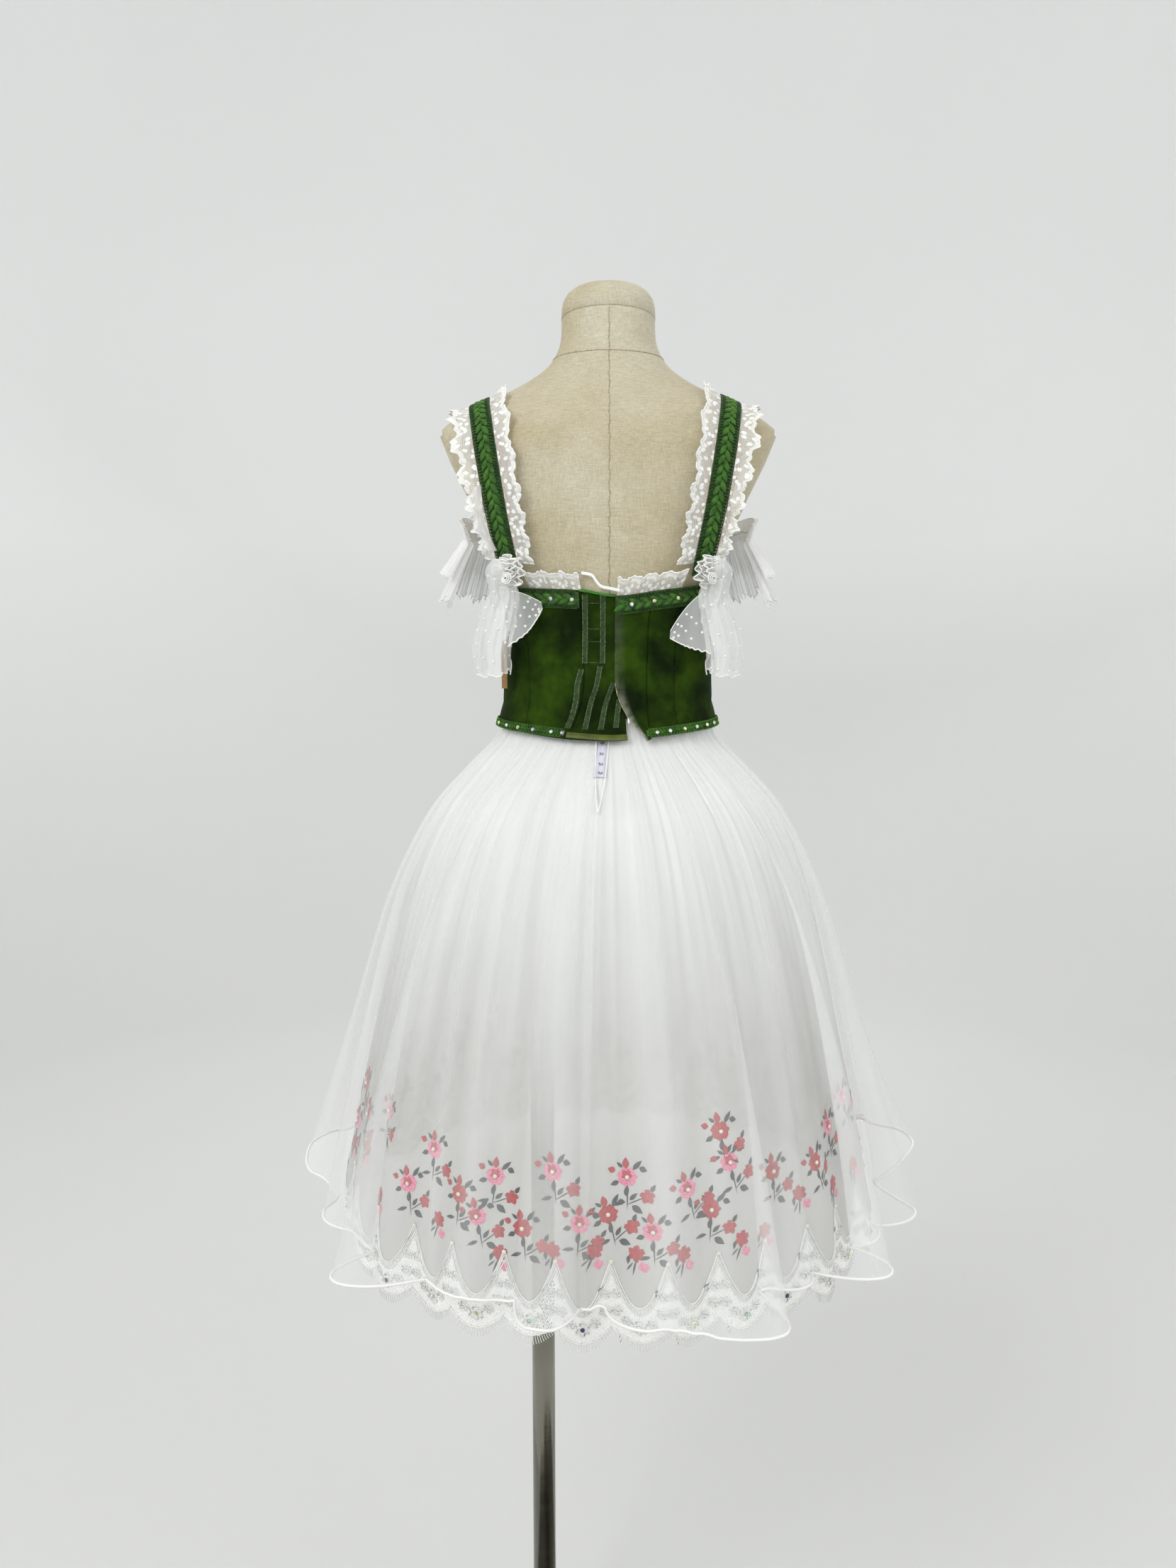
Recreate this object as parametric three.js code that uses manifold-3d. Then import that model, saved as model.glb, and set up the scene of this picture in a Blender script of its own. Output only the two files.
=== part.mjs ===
// A ballet dress on a dress form: a velvet bodice with braid trimmed straps, gathered lace,
// off-the-shoulder net sleeves and three skirt layers, worn by a limbless form on a pole stand.
// Millimetres, +Z up. The base stands on z = 0 with its centre at the origin. The back of the
// dress faces -Y. Azimuths are in degrees round Z: 0 is the centre back and +90 is +X.

import * as THREE from 'three';
import { mergeVertices } from 'three/addons/utils/BufferGeometryUtils.js';
import Module from 'manifold-3d';

const wasm = await Module();
wasm.setup();

// Driving sizes

const SEAM = 0.3;
const VELVET = 2;
const SHEER = 1.4;
const LACE = 1;
const HIP_Z = 1072;
const NECK_SEAM_Z = 1748;
const NECK_BASE_Z = 1704;
const NECK_TILT = 0.1;
const POLE_X = -80;
const POLE_R = 14.5;
const BASE_R = 175;
const BASE_H = 12;
const BAND_TOP = 1300;
const BAND_LOW = 1285;
const BAND_THICK = 1;
const BRAID = { height: 20, thick: 2 };
const GIMP = { height: 9, thick: 2.5 };
const STRAP = { width: 22, thick: 3, clear: 1.6, leftShift: 8 };

const { lerp, smoothstep, clamp, degToRad: rad } = THREE.MathUtils;

// Sections of the form: half width, depth behind and in front of its axis, and squareness
const FORM = [
  { z: 1072, side: 150, back: 92, front: 88, round: 2.2 },
  { z: 1084, side: 164, back: 104, front: 98, round: 2.2 },
  { z: 1125, side: 166, back: 108, front: 100, round: 2.2 },
  { z: 1185, side: 152, back: 101, front: 93, round: 2.2 },
  { z: 1240, side: 128, back: 88, front: 85, round: 2.25 },
  { z: 1285, side: 117.2, back: 80.2, front: 80.2, round: 2.25 },
  { z: 1300, side: 115.6, back: 78.7, front: 78.7, round: 2.25 },
  { z: 1320, side: 116, back: 79.4, front: 79.4, round: 2.25 },
  { z: 1365, side: 117.5, back: 83, front: 86, round: 2.4 },
  { z: 1388, side: 115.5, back: 84.5, front: 93, round: 2.5 },
  { z: 1410, side: 115.5, back: 86.6, front: 101, round: 2.6 },
  { z: 1432, side: 119.5, back: 90.5, front: 107, round: 2.7 },
  { z: 1455, side: 126, back: 93.5, front: 113.5, round: 2.7 },
  { z: 1478, side: 132, back: 95, front: 113.5, round: 2.75 },
  { z: 1500, side: 138, back: 96, front: 110, round: 2.8 },
  { z: 1545, side: 160, back: 95, front: 92, round: 2.8 },
  { z: 1590, side: 182, back: 92, front: 78, round: 2.7 },
  { z: 1620, side: 194, back: 86, front: 68, round: 2.4 },
  { z: 1643, side: 168, back: 78, front: 60, round: 2 },
  { z: 1661, side: 130, back: 71, front: 55, round: 1.85 },
  { z: 1676, side: 99, back: 65, front: 53, round: 1.85 },
  { z: 1690, side: 76, back: 61, front: 53, round: 1.95 },
  { z: NECK_BASE_Z, side: 63, back: 57, front: 53, round: 2 },
  { z: 1722, side: 55, back: 53, front: 53, round: 2 },
  { z: 1748, side: 53, back: 50, front: 54, round: 2 },
];

// The inner face of the bodice, and above its edge the surface that the sleeves hang round
const BODICE = [
  { z: 1255, side: 154, back: 119, front: 119, round: 2.25 },
  { z: 1271, side: 140, back: 106, front: 106, round: 2.3 },
  { z: 1286, side: 129.4, back: 93.6, front: 93.6, round: 2.3 },
  { z: 1300, side: 125.4, back: 88.8, front: 88.8, round: 2.3 },
  { z: 1320, side: 121.4, back: 85.6, front: 87, round: 2.3 },
  { z: 1365, side: 119.6, back: 85.4, front: 91, round: 2.4 },
  { z: 1410, side: 117.2, back: 88.2, front: 105, round: 2.6 },
  { z: 1455, side: 127.6, back: 95, front: 121, round: 2.8 },
  { z: 1500, side: 140, back: 97, front: 115, round: 2.8 },
  { z: 1550, side: 164, back: 98, front: 100, round: 2.8 },
];

// The surface that the straps lie on: the form, and below the shoulders wide enough for their lace
const YOKE = [
  { z: 1410, side: 122, back: 92, front: 110, round: 2.8 },
  { z: 1455, side: 136, back: 97, front: 124, round: 2.9 },
  { z: 1500, side: 165, back: 98, front: 117, round: 2.9 },
  { z: 1545, side: 195, back: 97, front: 97, round: 2.9 },
  { z: 1590, side: 204, back: 93, front: 80, round: 2.7 },
  { z: 1620, side: 196, back: 86.5, front: 68.5, round: 2.4 },
  ...FORM.filter((row) => row.z > 1620),
];

// Upper and lower edges of the bodice round the body
const EDGES = [
  { az: -180, top: 1484, bottom: 1266 },
  { az: -150, top: 1497, bottom: 1272 },
  { az: -118, top: 1482, bottom: 1282 },
  { az: -90, top: 1462, bottom: 1288 },
  { az: -60, top: 1447, bottom: 1285 },
  { az: -20, top: 1442, bottom: 1279 },
  { az: 4, top: 1436, bottom: 1277 },
  { az: 31, top: 1442, bottom: 1281 },
  { az: 60, top: 1450, bottom: 1286 },
  { az: 90, top: 1462, bottom: 1289 },
  { az: 118, top: 1482, bottom: 1282 },
  { az: 150, top: 1497, bottom: 1272 },
  { az: 180, top: 1484, bottom: 1266 },
];

// Smooth reading of one column of a table whose rows rise in `by`
function column(table, by, name, at) {
  const last = table.length - 1;
  let i = 0;
  while (i < last - 1 && at > table[i + 1][by]) i += 1;
  const [a, b] = [table[i], table[i + 1]];
  const before = table[Math.max(0, i - 1)];
  const after = table[Math.min(last, i + 2)];
  const span = b[by] - a[by];
  const t = clamp((at - a[by]) / span, 0, 1);
  const slopeA = ((b[name] - before[name]) / (b[by] - before[by])) * span;
  const slopeB = ((after[name] - a[name]) / (after[by] - a[by])) * span;
  const [t2, t3] = [t * t, t * t * t];
  return a[name] * (2 * t3 - 3 * t2 + 1) + slopeA * (t3 - 2 * t2 + t)
    + b[name] * (3 * t2 - 2 * t3) + slopeB * (t3 - t2);
}

const wrapAz = (az) => ((((az + 180) % 360) + 360) % 360) - 180;
const edge = (name, az) => column(EDGES, 'az', name, wrapAz(az));
const outward = (az) => new THREE.Vector3(Math.sin(rad(az)), -Math.cos(rad(az)), 0);

// A point of a section at an azimuth, with its half width and depths grown by `off`
function sectionPoint(table, az, z, off = 0) {
  const way = outward(az);
  const side = column(table, 'z', 'side', z) + off;
  const depth = column(table, 'z', way.y < 0 ? 'back' : 'front', z) + off;
  const round = column(table, 'z', 'round', z);
  const power = (Math.abs(way.x) / side) ** round + (Math.abs(way.y) / depth) ** round;
  return way.multiplyScalar(power ** (-1 / round)).setZ(z);
}
const onForm = (az, z, off) => sectionPoint(FORM, az, z, off);
const onBodice = (az, z, off) => sectionPoint(BODICE, az, z, off);

// Closes points and triangles into a geometry whose faces point out
function closedGeometry(points, triangles) {
  const positions = new Float32Array(points.length * 3);
  points.forEach((p, i) => p.toArray(positions, i * 3));
  let volume = 0;
  for (const [a, b, c] of triangles) {
    volume += points[a].dot(new THREE.Vector3().crossVectors(points[b], points[c]));
  }
  const index = triangles.flatMap(([a, b, c]) => (volume < 0 ? [a, c, b] : [a, b, c]));
  return new THREE.BufferGeometry()
    .setAttribute('position', new THREE.BufferAttribute(positions, 3))
    .setIndex(index);
}

const steps = (count, from = 0, to = 1) => Array.from(
  { length: count + 1 },
  (_, i) => lerp(from, to, i / count),
);

// A cloth wall between its outer and its inner face, both given at the steps `us` and `vs`. u runs
// round the body or along a strip, and v upwards or across. A closed wall's last u is its first one.
function shell(outer, inner, us, vs, closed = false) {
  const columns = us.length - 1;
  const rows = vs.length - 1;
  const across = closed ? columns : columns + 1;
  const points = [];
  for (const v of vs) {
    for (const u of us.slice(0, across)) points.push(outer(u, v), inner(u, v));
  }
  const at = (layer, i, j) => (j * across + (i % across)) * 2 + layer;
  const triangles = [];
  const quad = (a, b, c, d) => triangles.push([a, b, c], [a, c, d]);
  for (let i = 0; i < columns; i += 1) {
    for (let j = 0; j < rows; j += 1) {
      quad(at(0, i, j), at(0, i + 1, j), at(0, i + 1, j + 1), at(0, i, j + 1));
      quad(at(1, i, j), at(1, i, j + 1), at(1, i + 1, j + 1), at(1, i + 1, j));
    }
    quad(at(0, i + 1, 0), at(0, i, 0), at(1, i, 0), at(1, i + 1, 0));
    quad(at(0, i, rows), at(0, i + 1, rows), at(1, i + 1, rows), at(1, i, rows));
  }
  for (let j = 0; j < rows && !closed; j += 1) {
    quad(at(0, 0, j), at(0, 0, j + 1), at(1, 0, j + 1), at(1, 0, j));
    quad(at(0, columns, j + 1), at(0, columns, j), at(1, columns, j), at(1, columns, j + 1));
  }
  return closedGeometry(points, triangles);
}

// A wall whose thickness is laid off inwards from its outer face, square to it
function wall(face, us, vs, thickness, closed = false) {
  const [uEnd, vEnd] = [us.at(-1), vs.at(-1)];
  const [du, dv] = [1e-3 * (uEnd - us[0]), 1e-3 * (vEnd - vs[0])];
  const inner = (u, v) => {
    const [left, right] = closed ? [u - du, u + du] : [u === us[0] ? u : u - du, u === uEnd ? u : u + du];
    const [low, high] = [v === vs[0] ? v : v - dv, v === vEnd ? v : v + dv];
    const normal = face(right, v).sub(face(left, v)).cross(face(u, high).sub(face(u, low))).normalize();
    return face(u, v).addScaledVector(normal, -thickness);
  };
  return shell(face, inner, us, vs, closed);
}

// The left copy of a piece made for the right
function mirrored(geometry) {
  const copy = geometry.clone().scale(-1, 1, 1);
  const order = Array.from(copy.index.array);
  for (let i = 0; i < order.length; i += 3) [order[i], order[i + 1]] = [order[i + 1], order[i]];
  return copy.setIndex(order);
}

// A solid through closed rings, flat at both ends
function loft(rings) {
  const count = rings[0].length;
  const points = rings.flat();
  const triangles = [];
  for (let j = 0; j < rings.length - 1; j += 1) {
    for (let i = 0; i < count; i += 1) {
      const [a, b] = [j * count + i, j * count + ((i + 1) % count)];
      triangles.push([a, b, b + count], [a, b + count, a + count]);
    }
  }
  const middle = (ring) => ring.reduce((sum, p) => sum.add(p), new THREE.Vector3()).divideScalar(count);
  const bottom = points.push(middle(rings[0])) - 1;
  const top = points.push(middle(rings.at(-1))) - 1;
  const start = (rings.length - 1) * count;
  for (let i = 0; i < count; i += 1) {
    const next = (i + 1) % count;
    triangles.push([bottom, next, i], [top, start + i, start + next]);
  }
  return closedGeometry(points, triangles);
}

function toManifold(geometry) {
  const merged = mergeVertices(geometry.clone().deleteAttribute('normal').deleteAttribute('uv'), 1e-3);
  return new wasm.Manifold(new wasm.Mesh({
    numProp: 3,
    vertProperties: merged.attributes.position.array,
    triVerts: new Uint32Array(merged.index.array),
  }));
}

function fromManifold(solid) {
  const mesh = solid.getMesh();
  return new THREE.BufferGeometry()
    .setAttribute('position', new THREE.BufferAttribute(Float32Array.from(mesh.vertProperties), 3))
    .setIndex(new THREE.BufferAttribute(Uint32Array.from(mesh.triVerts), 1));
}

const cut = (geometry, tools) => fromManifold(
  tools.reduce((left, tool) => left.subtract(toManifold(tool)), toManifold(geometry)),
);
const common = (a, b) => fromManifold(toManifold(a).intersect(toManifold(b)));

function finish(color, roughness, metalness = 0, opacity = 1) {
  return new THREE.MeshStandardMaterial({ color, roughness, metalness, opacity, transparent: opacity < 1 });
}
const MATERIAL = {
  velvet: finish(0x2a4a0c, 0.95),
  braid: finish(0x2f7a1c, 0.8),
  binding: finish(0x5d6a10, 0.6),
  lace: finish(0xf2f2ee, 0.9),
  organza: finish(0xf4f6f4, 0.7, 0, 0.5),
  flowerNet: finish(0xefeaea, 0.8, 0, 0.6),
  tulle: finish(0xeef1f1, 0.9, 0, 0.5),
  tape: finish(0xe4e4f2, 0.8),
  elastic: finish(0xb07a3c, 0.8),
  linen: finish(0xd6ccab, 0.95),
  steel: finish(0x9a9a92, 0.2, 1),
};

const dress = new THREE.Group();
function add(name, geometry, material) {
  const mesh = new THREE.Mesh(geometry, material);
  mesh.name = name;
  dress.add(mesh);
}

// The stand: a round base plate, and a pole that stands beside its middle in a collar
function makeStand() {
  const sides = { plate: 36, rod: 20 };
  const lathe = (profile, count) => {
    const points = profile.map(([r, z]) => new THREE.Vector2(r, z));
    return new THREE.LatheGeometry(points, count).rotateX(Math.PI / 2);
  };
  const bevel = 3;
  const plate = [[0, 0], [BASE_R - bevel, 0], [BASE_R, bevel], [BASE_R, BASE_H - bevel],
    [BASE_R - bevel, BASE_H], [0, BASE_H]];
  add('base_plate', lathe(plate, sides.plate), MATERIAL.steel);

  const collarR = 26;
  const collarH = 34;
  const slope = 6;
  const collar = [[0, 0], [collarR, 0], [collarR, collarH - slope], [collarR - slope, collarH], [0, collarH]];
  add('base_collar', lathe(collar, sides.rod).translate(POLE_X, 0, BASE_H + SEAM), MATERIAL.steel);

  const flangeR = 45;
  const flangeH = 8;
  const foot = BASE_H + collarH + 2 * SEAM;
  const length = HIP_Z - flangeH - 2 * SEAM - foot;
  const rod = (r, h, z) => new THREE.CylinderGeometry(r, r, h, sides.rod)
    .rotateX(Math.PI / 2)
    .translate(POLE_X, 0, z + h / 2);
  add('pole', rod(POLE_R, length, foot), MATERIAL.steel);
  add('pole_flange', rod(flangeR, flangeH, HIP_Z - SEAM - flangeH), MATERIAL.steel);
}

// The form: torso, neck cap and the two slanted armhole plates

const ARM_PLATE = {
  topX: 191, topZ: 1626, lowX: 153, lowZ: 1532, thick: 5, overlap: 8, reach: 20, depth: 400,
};

// A slab outside the slanted armhole plane. `side` is -1 or 1.
function armSlab(side, gap, thick, reach) {
  const { topX, topZ, lowX, lowZ, overlap, depth } = ARM_PLATE;
  const along = new THREE.Vector3(topX - lowX, 0, topZ - lowZ);
  const length = along.length() + overlap + reach;
  along.normalize();
  const out = new THREE.Vector3(along.z, 0, -along.x);
  const middle = new THREE.Vector3(lowX, 0, lowZ)
    .addScaledVector(along, length / 2 - overlap)
    .addScaledVector(out, gap + thick / 2);
  const slab = new THREE.BoxGeometry(thick, depth, length);
  slab.rotateY(Math.atan2(along.x, along.z)).translate(middle.x, middle.y, middle.z);
  return side > 0 ? slab : slab.rotateZ(Math.PI);
}

function makeForm() {
  const sides = 24;
  const ring = (z, off) => Array.from({ length: sides }, (_, i) => {
    const p = onForm((360 * i) / sides, z, off);
    p.z -= p.y * NECK_TILT * smoothstep(z, NECK_BASE_Z, NECK_SEAM_Z);
    return p;
  });
  const whole = loft(FORM.map((row) => ring(row.z, 0)));
  const away = { thick: 120, reach: 60 };
  const torso = cut(whole, [-1, 1].map((side) => armSlab(side, 0, away.thick, away.reach)));
  add('form_torso', torso, MATERIAL.linen);
  for (const [name, side] of [['left', -1], ['right', 1]]) {
    const slab = armSlab(side, SEAM, ARM_PLATE.thick, ARM_PLATE.reach);
    add(`form_arm_plate_${name}`, common(whole, slab), MATERIAL.linen);
  }
  const cap = [
    { up: SEAM, shrink: 0 }, { up: 12, shrink: 0 }, { up: 22, shrink: 4 }, { up: 30, shrink: 14 },
    { up: 35, shrink: 30 },
  ];
  add('form_neck_cap', loft(cap.map(({ up, shrink }) => ring(NECK_SEAM_Z, -shrink)
    .map((p) => p.setZ(p.z + up)))), MATERIAL.linen);
}

// The bodice: walls between two azimuths. The right back laps over the placket of the left back.
// Everything on the body shares the same azimuth steps, so what lies on a panel follows its facets.

const AZ_STEP = 9;
const TRIM_MARGIN = 0.5;
const OVERLAY = 0.6;
const PLACKET = { from: -18, to: 12, lean: 9 };
const LAP = { until: 18, gone: 27, freeAz: 4 };
const OPEN_EDGE = { z: 1348, swing: 19, bend: 1.9, depth: 67 };
const PANEL_GAP = 0.15;
const PANELS = [
  { name: 'bodice_back_left', from: -54, to: PLACKET.from, leanTo: PLACKET.lean },
  { name: 'bodice_placket', from: PLACKET.from, to: PLACKET.to, leanFrom: PLACKET.lean },
  { name: 'bodice_side_left', from: -99, to: -54 },
  { name: 'bodice_side_front_left', from: -153, to: -99 },
  { name: 'bodice_back_right', from: LAP.freeAz, to: 27, leanFrom: -OPEN_EDGE.swing, laps: true },
  { name: 'bodice_side_back_right', from: 27, to: 45 },
  { name: 'bodice_side_right', from: 45, to: 99 },
  { name: 'bodice_side_front_right', from: 99, to: 153 },
  { name: 'bodice_front', from: 153, to: 207 },
];

const lap = (az) => (VELVET + OVERLAY) * (1 - clamp((az - LAP.until) / (LAP.gone - LAP.until), 0, 1));
const swing = (z) => clamp((OPEN_EDGE.z - z) / OPEN_EDGE.depth, 0, 1) ** OPEN_EDGE.bend;

// Azimuth steps from one end to the other through the shared ones
function azimuths(from, to) {
  const inner = [];
  for (let az = AZ_STEP * (Math.floor(from / AZ_STEP) + 1); az < to - 0.5; az += AZ_STEP) inner.push(az);
  return [from, ...inner, to];
}

// Rows of a panel: 0 and 1 are its edges, and the ends of `middle` lie under the trims
const PANEL_ROWS = [-1, ...steps(3), 2];
function panelZ(az, row) {
  const [low, high] = [edge('bottom', az), edge('top', az)];
  const [trimLow, trimHigh] = [low + GIMP.height + 2 * TRIM_MARGIN, high - BRAID.height - 2 * TRIM_MARGIN];
  if (row < 0) return lerp(trimLow, low, -row);
  return row > 1 ? lerp(trimHigh, high, row - 1) : lerp(trimLow, trimHigh, row);
}

function makeBodice() {
  for (const { name, from, to, leanFrom = 0, leanTo = 0, laps = false } of PANELS) {
    const face = (off) => (az, row) => {
      const z = panelZ(az, row);
      const lean = swing(z) * lerp(leanFrom, leanTo, (az - from) / (to - from));
      return onBodice(az - lean, z, off + (laps ? lap(az - lean) : 0));
    };
    const us = azimuths(from + PANEL_GAP, to - PANEL_GAP);
    add(name, shell(face(VELVET), face(0), us, PANEL_ROWS), MATERIAL.velvet);
  }
}

// Braids on the bodice: wide along its top edge, narrow along its bottom edge, and a satin
// binding where the placket's bottom edge has no braid
const RUNS = [
  { side: 'back_left', from: -90, to: -19.5, gimpTo: -28 },
  { side: 'back_right', from: 4.4, to: 90, gimpFrom: 24, laps: true },
  { side: 'front', from: 90.4, to: 269.6 },
];

function trim({ from, to, laps = false }, name, { height, thick }) {
  const low = name === 'top' ? -height - TRIM_MARGIN : TRIM_MARGIN;
  const face = (off) => (az, v) => onBodice(az, edge(name, az) + low + v * height,
    VELVET + OVERLAY + off + (laps ? lap(az) : 0));
  return shell(face(thick), face(0), azimuths(from, to), [0, 1]);
}

function makeTrims() {
  for (const run of RUNS) {
    const { side, from, to, gimpFrom = from, gimpTo = to } = run;
    add(`braid_top_${side}`, trim(run, 'top', BRAID), MATERIAL.braid);
    add(`braid_bottom_${side}`, trim({ ...run, from: gimpFrom, to: gimpTo }, 'bottom', GIMP), MATERIAL.braid);
  }
  const binding = { height: 6, thick: 1.4 };
  add('binding_placket', trim({ from: -26.6, to: 11.6 }, 'bottom', binding), MATERIAL.binding);
}

// Where a ray from inside a shoulder leaves the yoke. The angle is 0 upwards and negative backwards.
const SHOULDER = { z: 1500, near: 10, far: 260, halvings: 30 };
function inYoke(x, y, z) {
  const side = column(YOKE, 'z', 'side', z);
  const depth = column(YOKE, 'z', y < 0 ? 'back' : 'front', z);
  const round = column(YOKE, 'z', 'round', z);
  return (Math.abs(x) / side) ** round + (Math.abs(y) / depth) ** round < 1;
}

function overShoulder(x, angle) {
  const way = new THREE.Vector3(0, Math.sin(rad(angle)), Math.cos(rad(angle)));
  let { near, far } = SHOULDER;
  for (let i = 0; i < SHOULDER.halvings; i += 1) {
    const mid = (near + far) / 2;
    if (inYoke(x, mid * way.y, SHOULDER.z + mid * way.z)) near = mid;
    else far = mid;
  }
  return way.multiplyScalar(near).add(new THREE.Vector3(x, 0, SHOULDER.z));
}

// The strap's centre line over the right shoulder, from the back to the front
const STRAP_LINE = [
  { at: 0, angle: -116, x: 100 },
  { at: 0.1, angle: -99, x: 106 },
  { at: 0.32, angle: -54, x: 121 },
  { at: 0.5, angle: -17, x: 135 },
  { at: 0.6, angle: 4, x: 137 },
  { at: 0.74, angle: 34, x: 131 },
  { at: 0.88, angle: 68, x: 119 },
  { at: 1, angle: 95, x: 107 },
];

// A point beside the strap's centre line: `aside` is towards the arm, `off` is out from the yoke
function strapPoint(at, aside, off) {
  const angle = column(STRAP_LINE, 'at', 'angle', at);
  const x = column(STRAP_LINE, 'at', 'x', at) + aside;
  const probe = 2;
  const alongX = overShoulder(x + probe, angle).sub(overShoulder(x - probe, angle));
  const alongAngle = overShoulder(x, angle + probe).sub(overShoulder(x, angle - probe));
  const normal = alongX.cross(alongAngle).normalize();
  return overShoulder(x, angle).addScaledVector(normal, STRAP.clear + off);
}

// Gathered lace beside a strap: it ripples off the yoke as it widens. `way` is 1 towards the arm.
const STRAP_LACE = {
  waves: 10, width: 18, uneven: 0.12, ripple: 7, apart: 0.8, clear: 0.8, from: 0.05, to: 0.95,
};
function strapLace(shift, way) {
  const { waves, width, uneven, ripple, apart, clear, from, to } = STRAP_LACE;
  const face = (u, v) => {
    const phase = 2 * Math.PI * waves * u;
    const reach = STRAP.width / 2 + apart + width * v * (1 + uneven * Math.sin(phase + 1));
    const lift = LACE + clear + v * ripple * (0.5 + 0.5 * Math.sin(phase));
    return strapPoint(way > 0 ? lerp(to, from, u) : lerp(from, to, u), shift + way * reach, lift);
  };
  return wall(face, steps(waves * 3), [0, 1], LACE);
}

function makeStraps() {
  for (const [name, shift, place] of [['left', STRAP.leftShift, mirrored], ['right', 0, (g) => g]]) {
    const face = (u, v) => strapPoint(u, shift + (0.5 - v) * STRAP.width, STRAP.thick);
    add(`strap_${name}`, place(wall(face, steps(22), [0, 0.5, 1], STRAP.thick)), MATERIAL.braid);
    add(`lace_strap_${name}_inner`, place(strapLace(shift, -1)), MATERIAL.lace);
    add(`lace_strap_${name}_outer`, place(strapLace(shift, 1)), MATERIAL.lace);
  }
}

// Gathered lace that stands up from the top edge of the bodice
const TOP_LACE = {
  height: 17, lean: 2, ripple: 4, uneven: 0.1, degreesPerWave: 9,
  runs: [
    { side: 'back_left', from: -47, to: -18 },
    { side: 'back_right', from: 5, to: 43, laps: true },
    { side: 'front', from: 148, to: 212 },
  ],
};
function makeTopLace() {
  const { height, lean, ripple, uneven, degreesPerWave, runs } = TOP_LACE;
  for (const { side, from, to, laps = false } of runs) {
    const waves = Math.round((to - from) / degreesPerWave);
    add(`lace_top_${side}`, wall((az, v) => {
      const phase = (2 * Math.PI * waves * (az - from)) / (to - from);
      const z = edge('top', az) + TRIM_MARGIN + v * height * (1 + uneven * Math.cos(phase));
      return onBodice(az, z, VELVET + v * (lean + ripple * (1 + Math.sin(phase))) + (laps ? lap(az) : 0));
    }, steps(waves * 4, from, to), [0, 1], LACE), MATERIAL.lace);
  }
}

// Off-the-shoulder sleeves

// The pleated frill's head runs round the missing arm, and its pleats fall outwards from it
const FRILL = {
  pleats: 20, from: -34, to: 79, middleX: 118, wide: 42, deep: 70,
  z: 1474, rise: 32, frontRise: 12, header: 16, fall: 72, flare: 0.42, pleat: 3.2, headAt: 0.18, steep: 0.9,
};
function frillPoint(u, v) {
  const turn = rad(lerp(FRILL.to, FRILL.from, u));
  const out = new THREE.Vector3(Math.cos(turn), Math.sin(turn), 0);
  const head = new THREE.Vector3(FRILL.middleX + FRILL.wide * out.x, FRILL.deep * out.y,
    FRILL.z + FRILL.rise * out.x + FRILL.frontRise * out.y);
  const drop = lerp(-FRILL.header, FRILL.fall, v);
  const zigzag = FRILL.pleat * Math.abs(v - FRILL.headAt) * Math.cos(2 * Math.PI * FRILL.pleats * u);
  const p = head.addScaledVector(out, Math.abs(drop) * FRILL.flare + zigzag);
  return p.setZ(p.z - drop * FRILL.steep);
}

// The dotted tulle drape: an open tube that hangs from a knot on the bodice's back edge. `gap` is
// how far its near side lies from the braid.
const DRAPE = [
  { t: 0, az: 54, z: 1476, gap: 12, wide: 7, deep: 5 },
  { t: 0.14, az: 54, z: 1464, gap: 9.5, wide: 18, deep: 10 },
  { t: 0.3, az: 55, z: 1440, gap: -1, wide: 19, deep: 15 },
  { t: 0.5, az: 59, z: 1414, gap: 3, wide: 26, deep: 18 },
  { t: 0.75, az: 63, z: 1380, gap: 6, wide: 27, deep: 19 },
  { t: 1, az: 64, z: 1346, gap: 7, wide: 22, deep: 16 },
];
const DRAPE_FOLDS = { count: 4, depth: 0.12, start: 0.6 };
const DRAPE_SEAT = 1.1;
const BRAID_FACE = VELVET + OVERLAY + BRAID.thick;
function drapePoint(turn, t, inset) {
  const read = (name) => column(DRAPE, 't', name, t);
  const az = read('az');
  const fold = 1 + DRAPE_FOLDS.depth * t * Math.cos(DRAPE_FOLDS.count * turn + DRAPE_FOLDS.start);
  const wide = (read('wide') - inset) * fold;
  const deep = (read('deep') - inset) * fold;
  return onBodice(az, read('z'), BRAID_FACE)
    .addScaledVector(outward(az), read('gap') + read('deep') * DRAPE_SEAT + deep * Math.sin(turn))
    .addScaledVector(outward(az + 90), wide * Math.cos(turn));
}

// The loose corner of the drape's cloth that points to the centre back. It rises to the drape's edge.
const FLAPS = {
  left: { azTip: 40.5, zTip: 1426, azRoot: 47.4, rootTop: 1441, rootLow: 1392, rise: 15 },
  right: { azTip: 39, zTip: 1394, azRoot: 47.4, rootTop: 1440, rootLow: 1378, rise: 15 },
};
function flapPoint({ azTip, zTip, azRoot, rootTop, rootLow, rise }, u, v) {
  const narrow = 0.12;
  const high = (rootTop - rootLow) * lerp(narrow, 1, u);
  const z = lerp(zTip, (rootTop + rootLow) / 2, u) + (v - 0.5) * high;
  const clear = LACE + 0.1;
  return onBodice(lerp(azTip, azRoot, u), z, BRAID_FACE + clear + rise * u ** 2);
}

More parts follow.
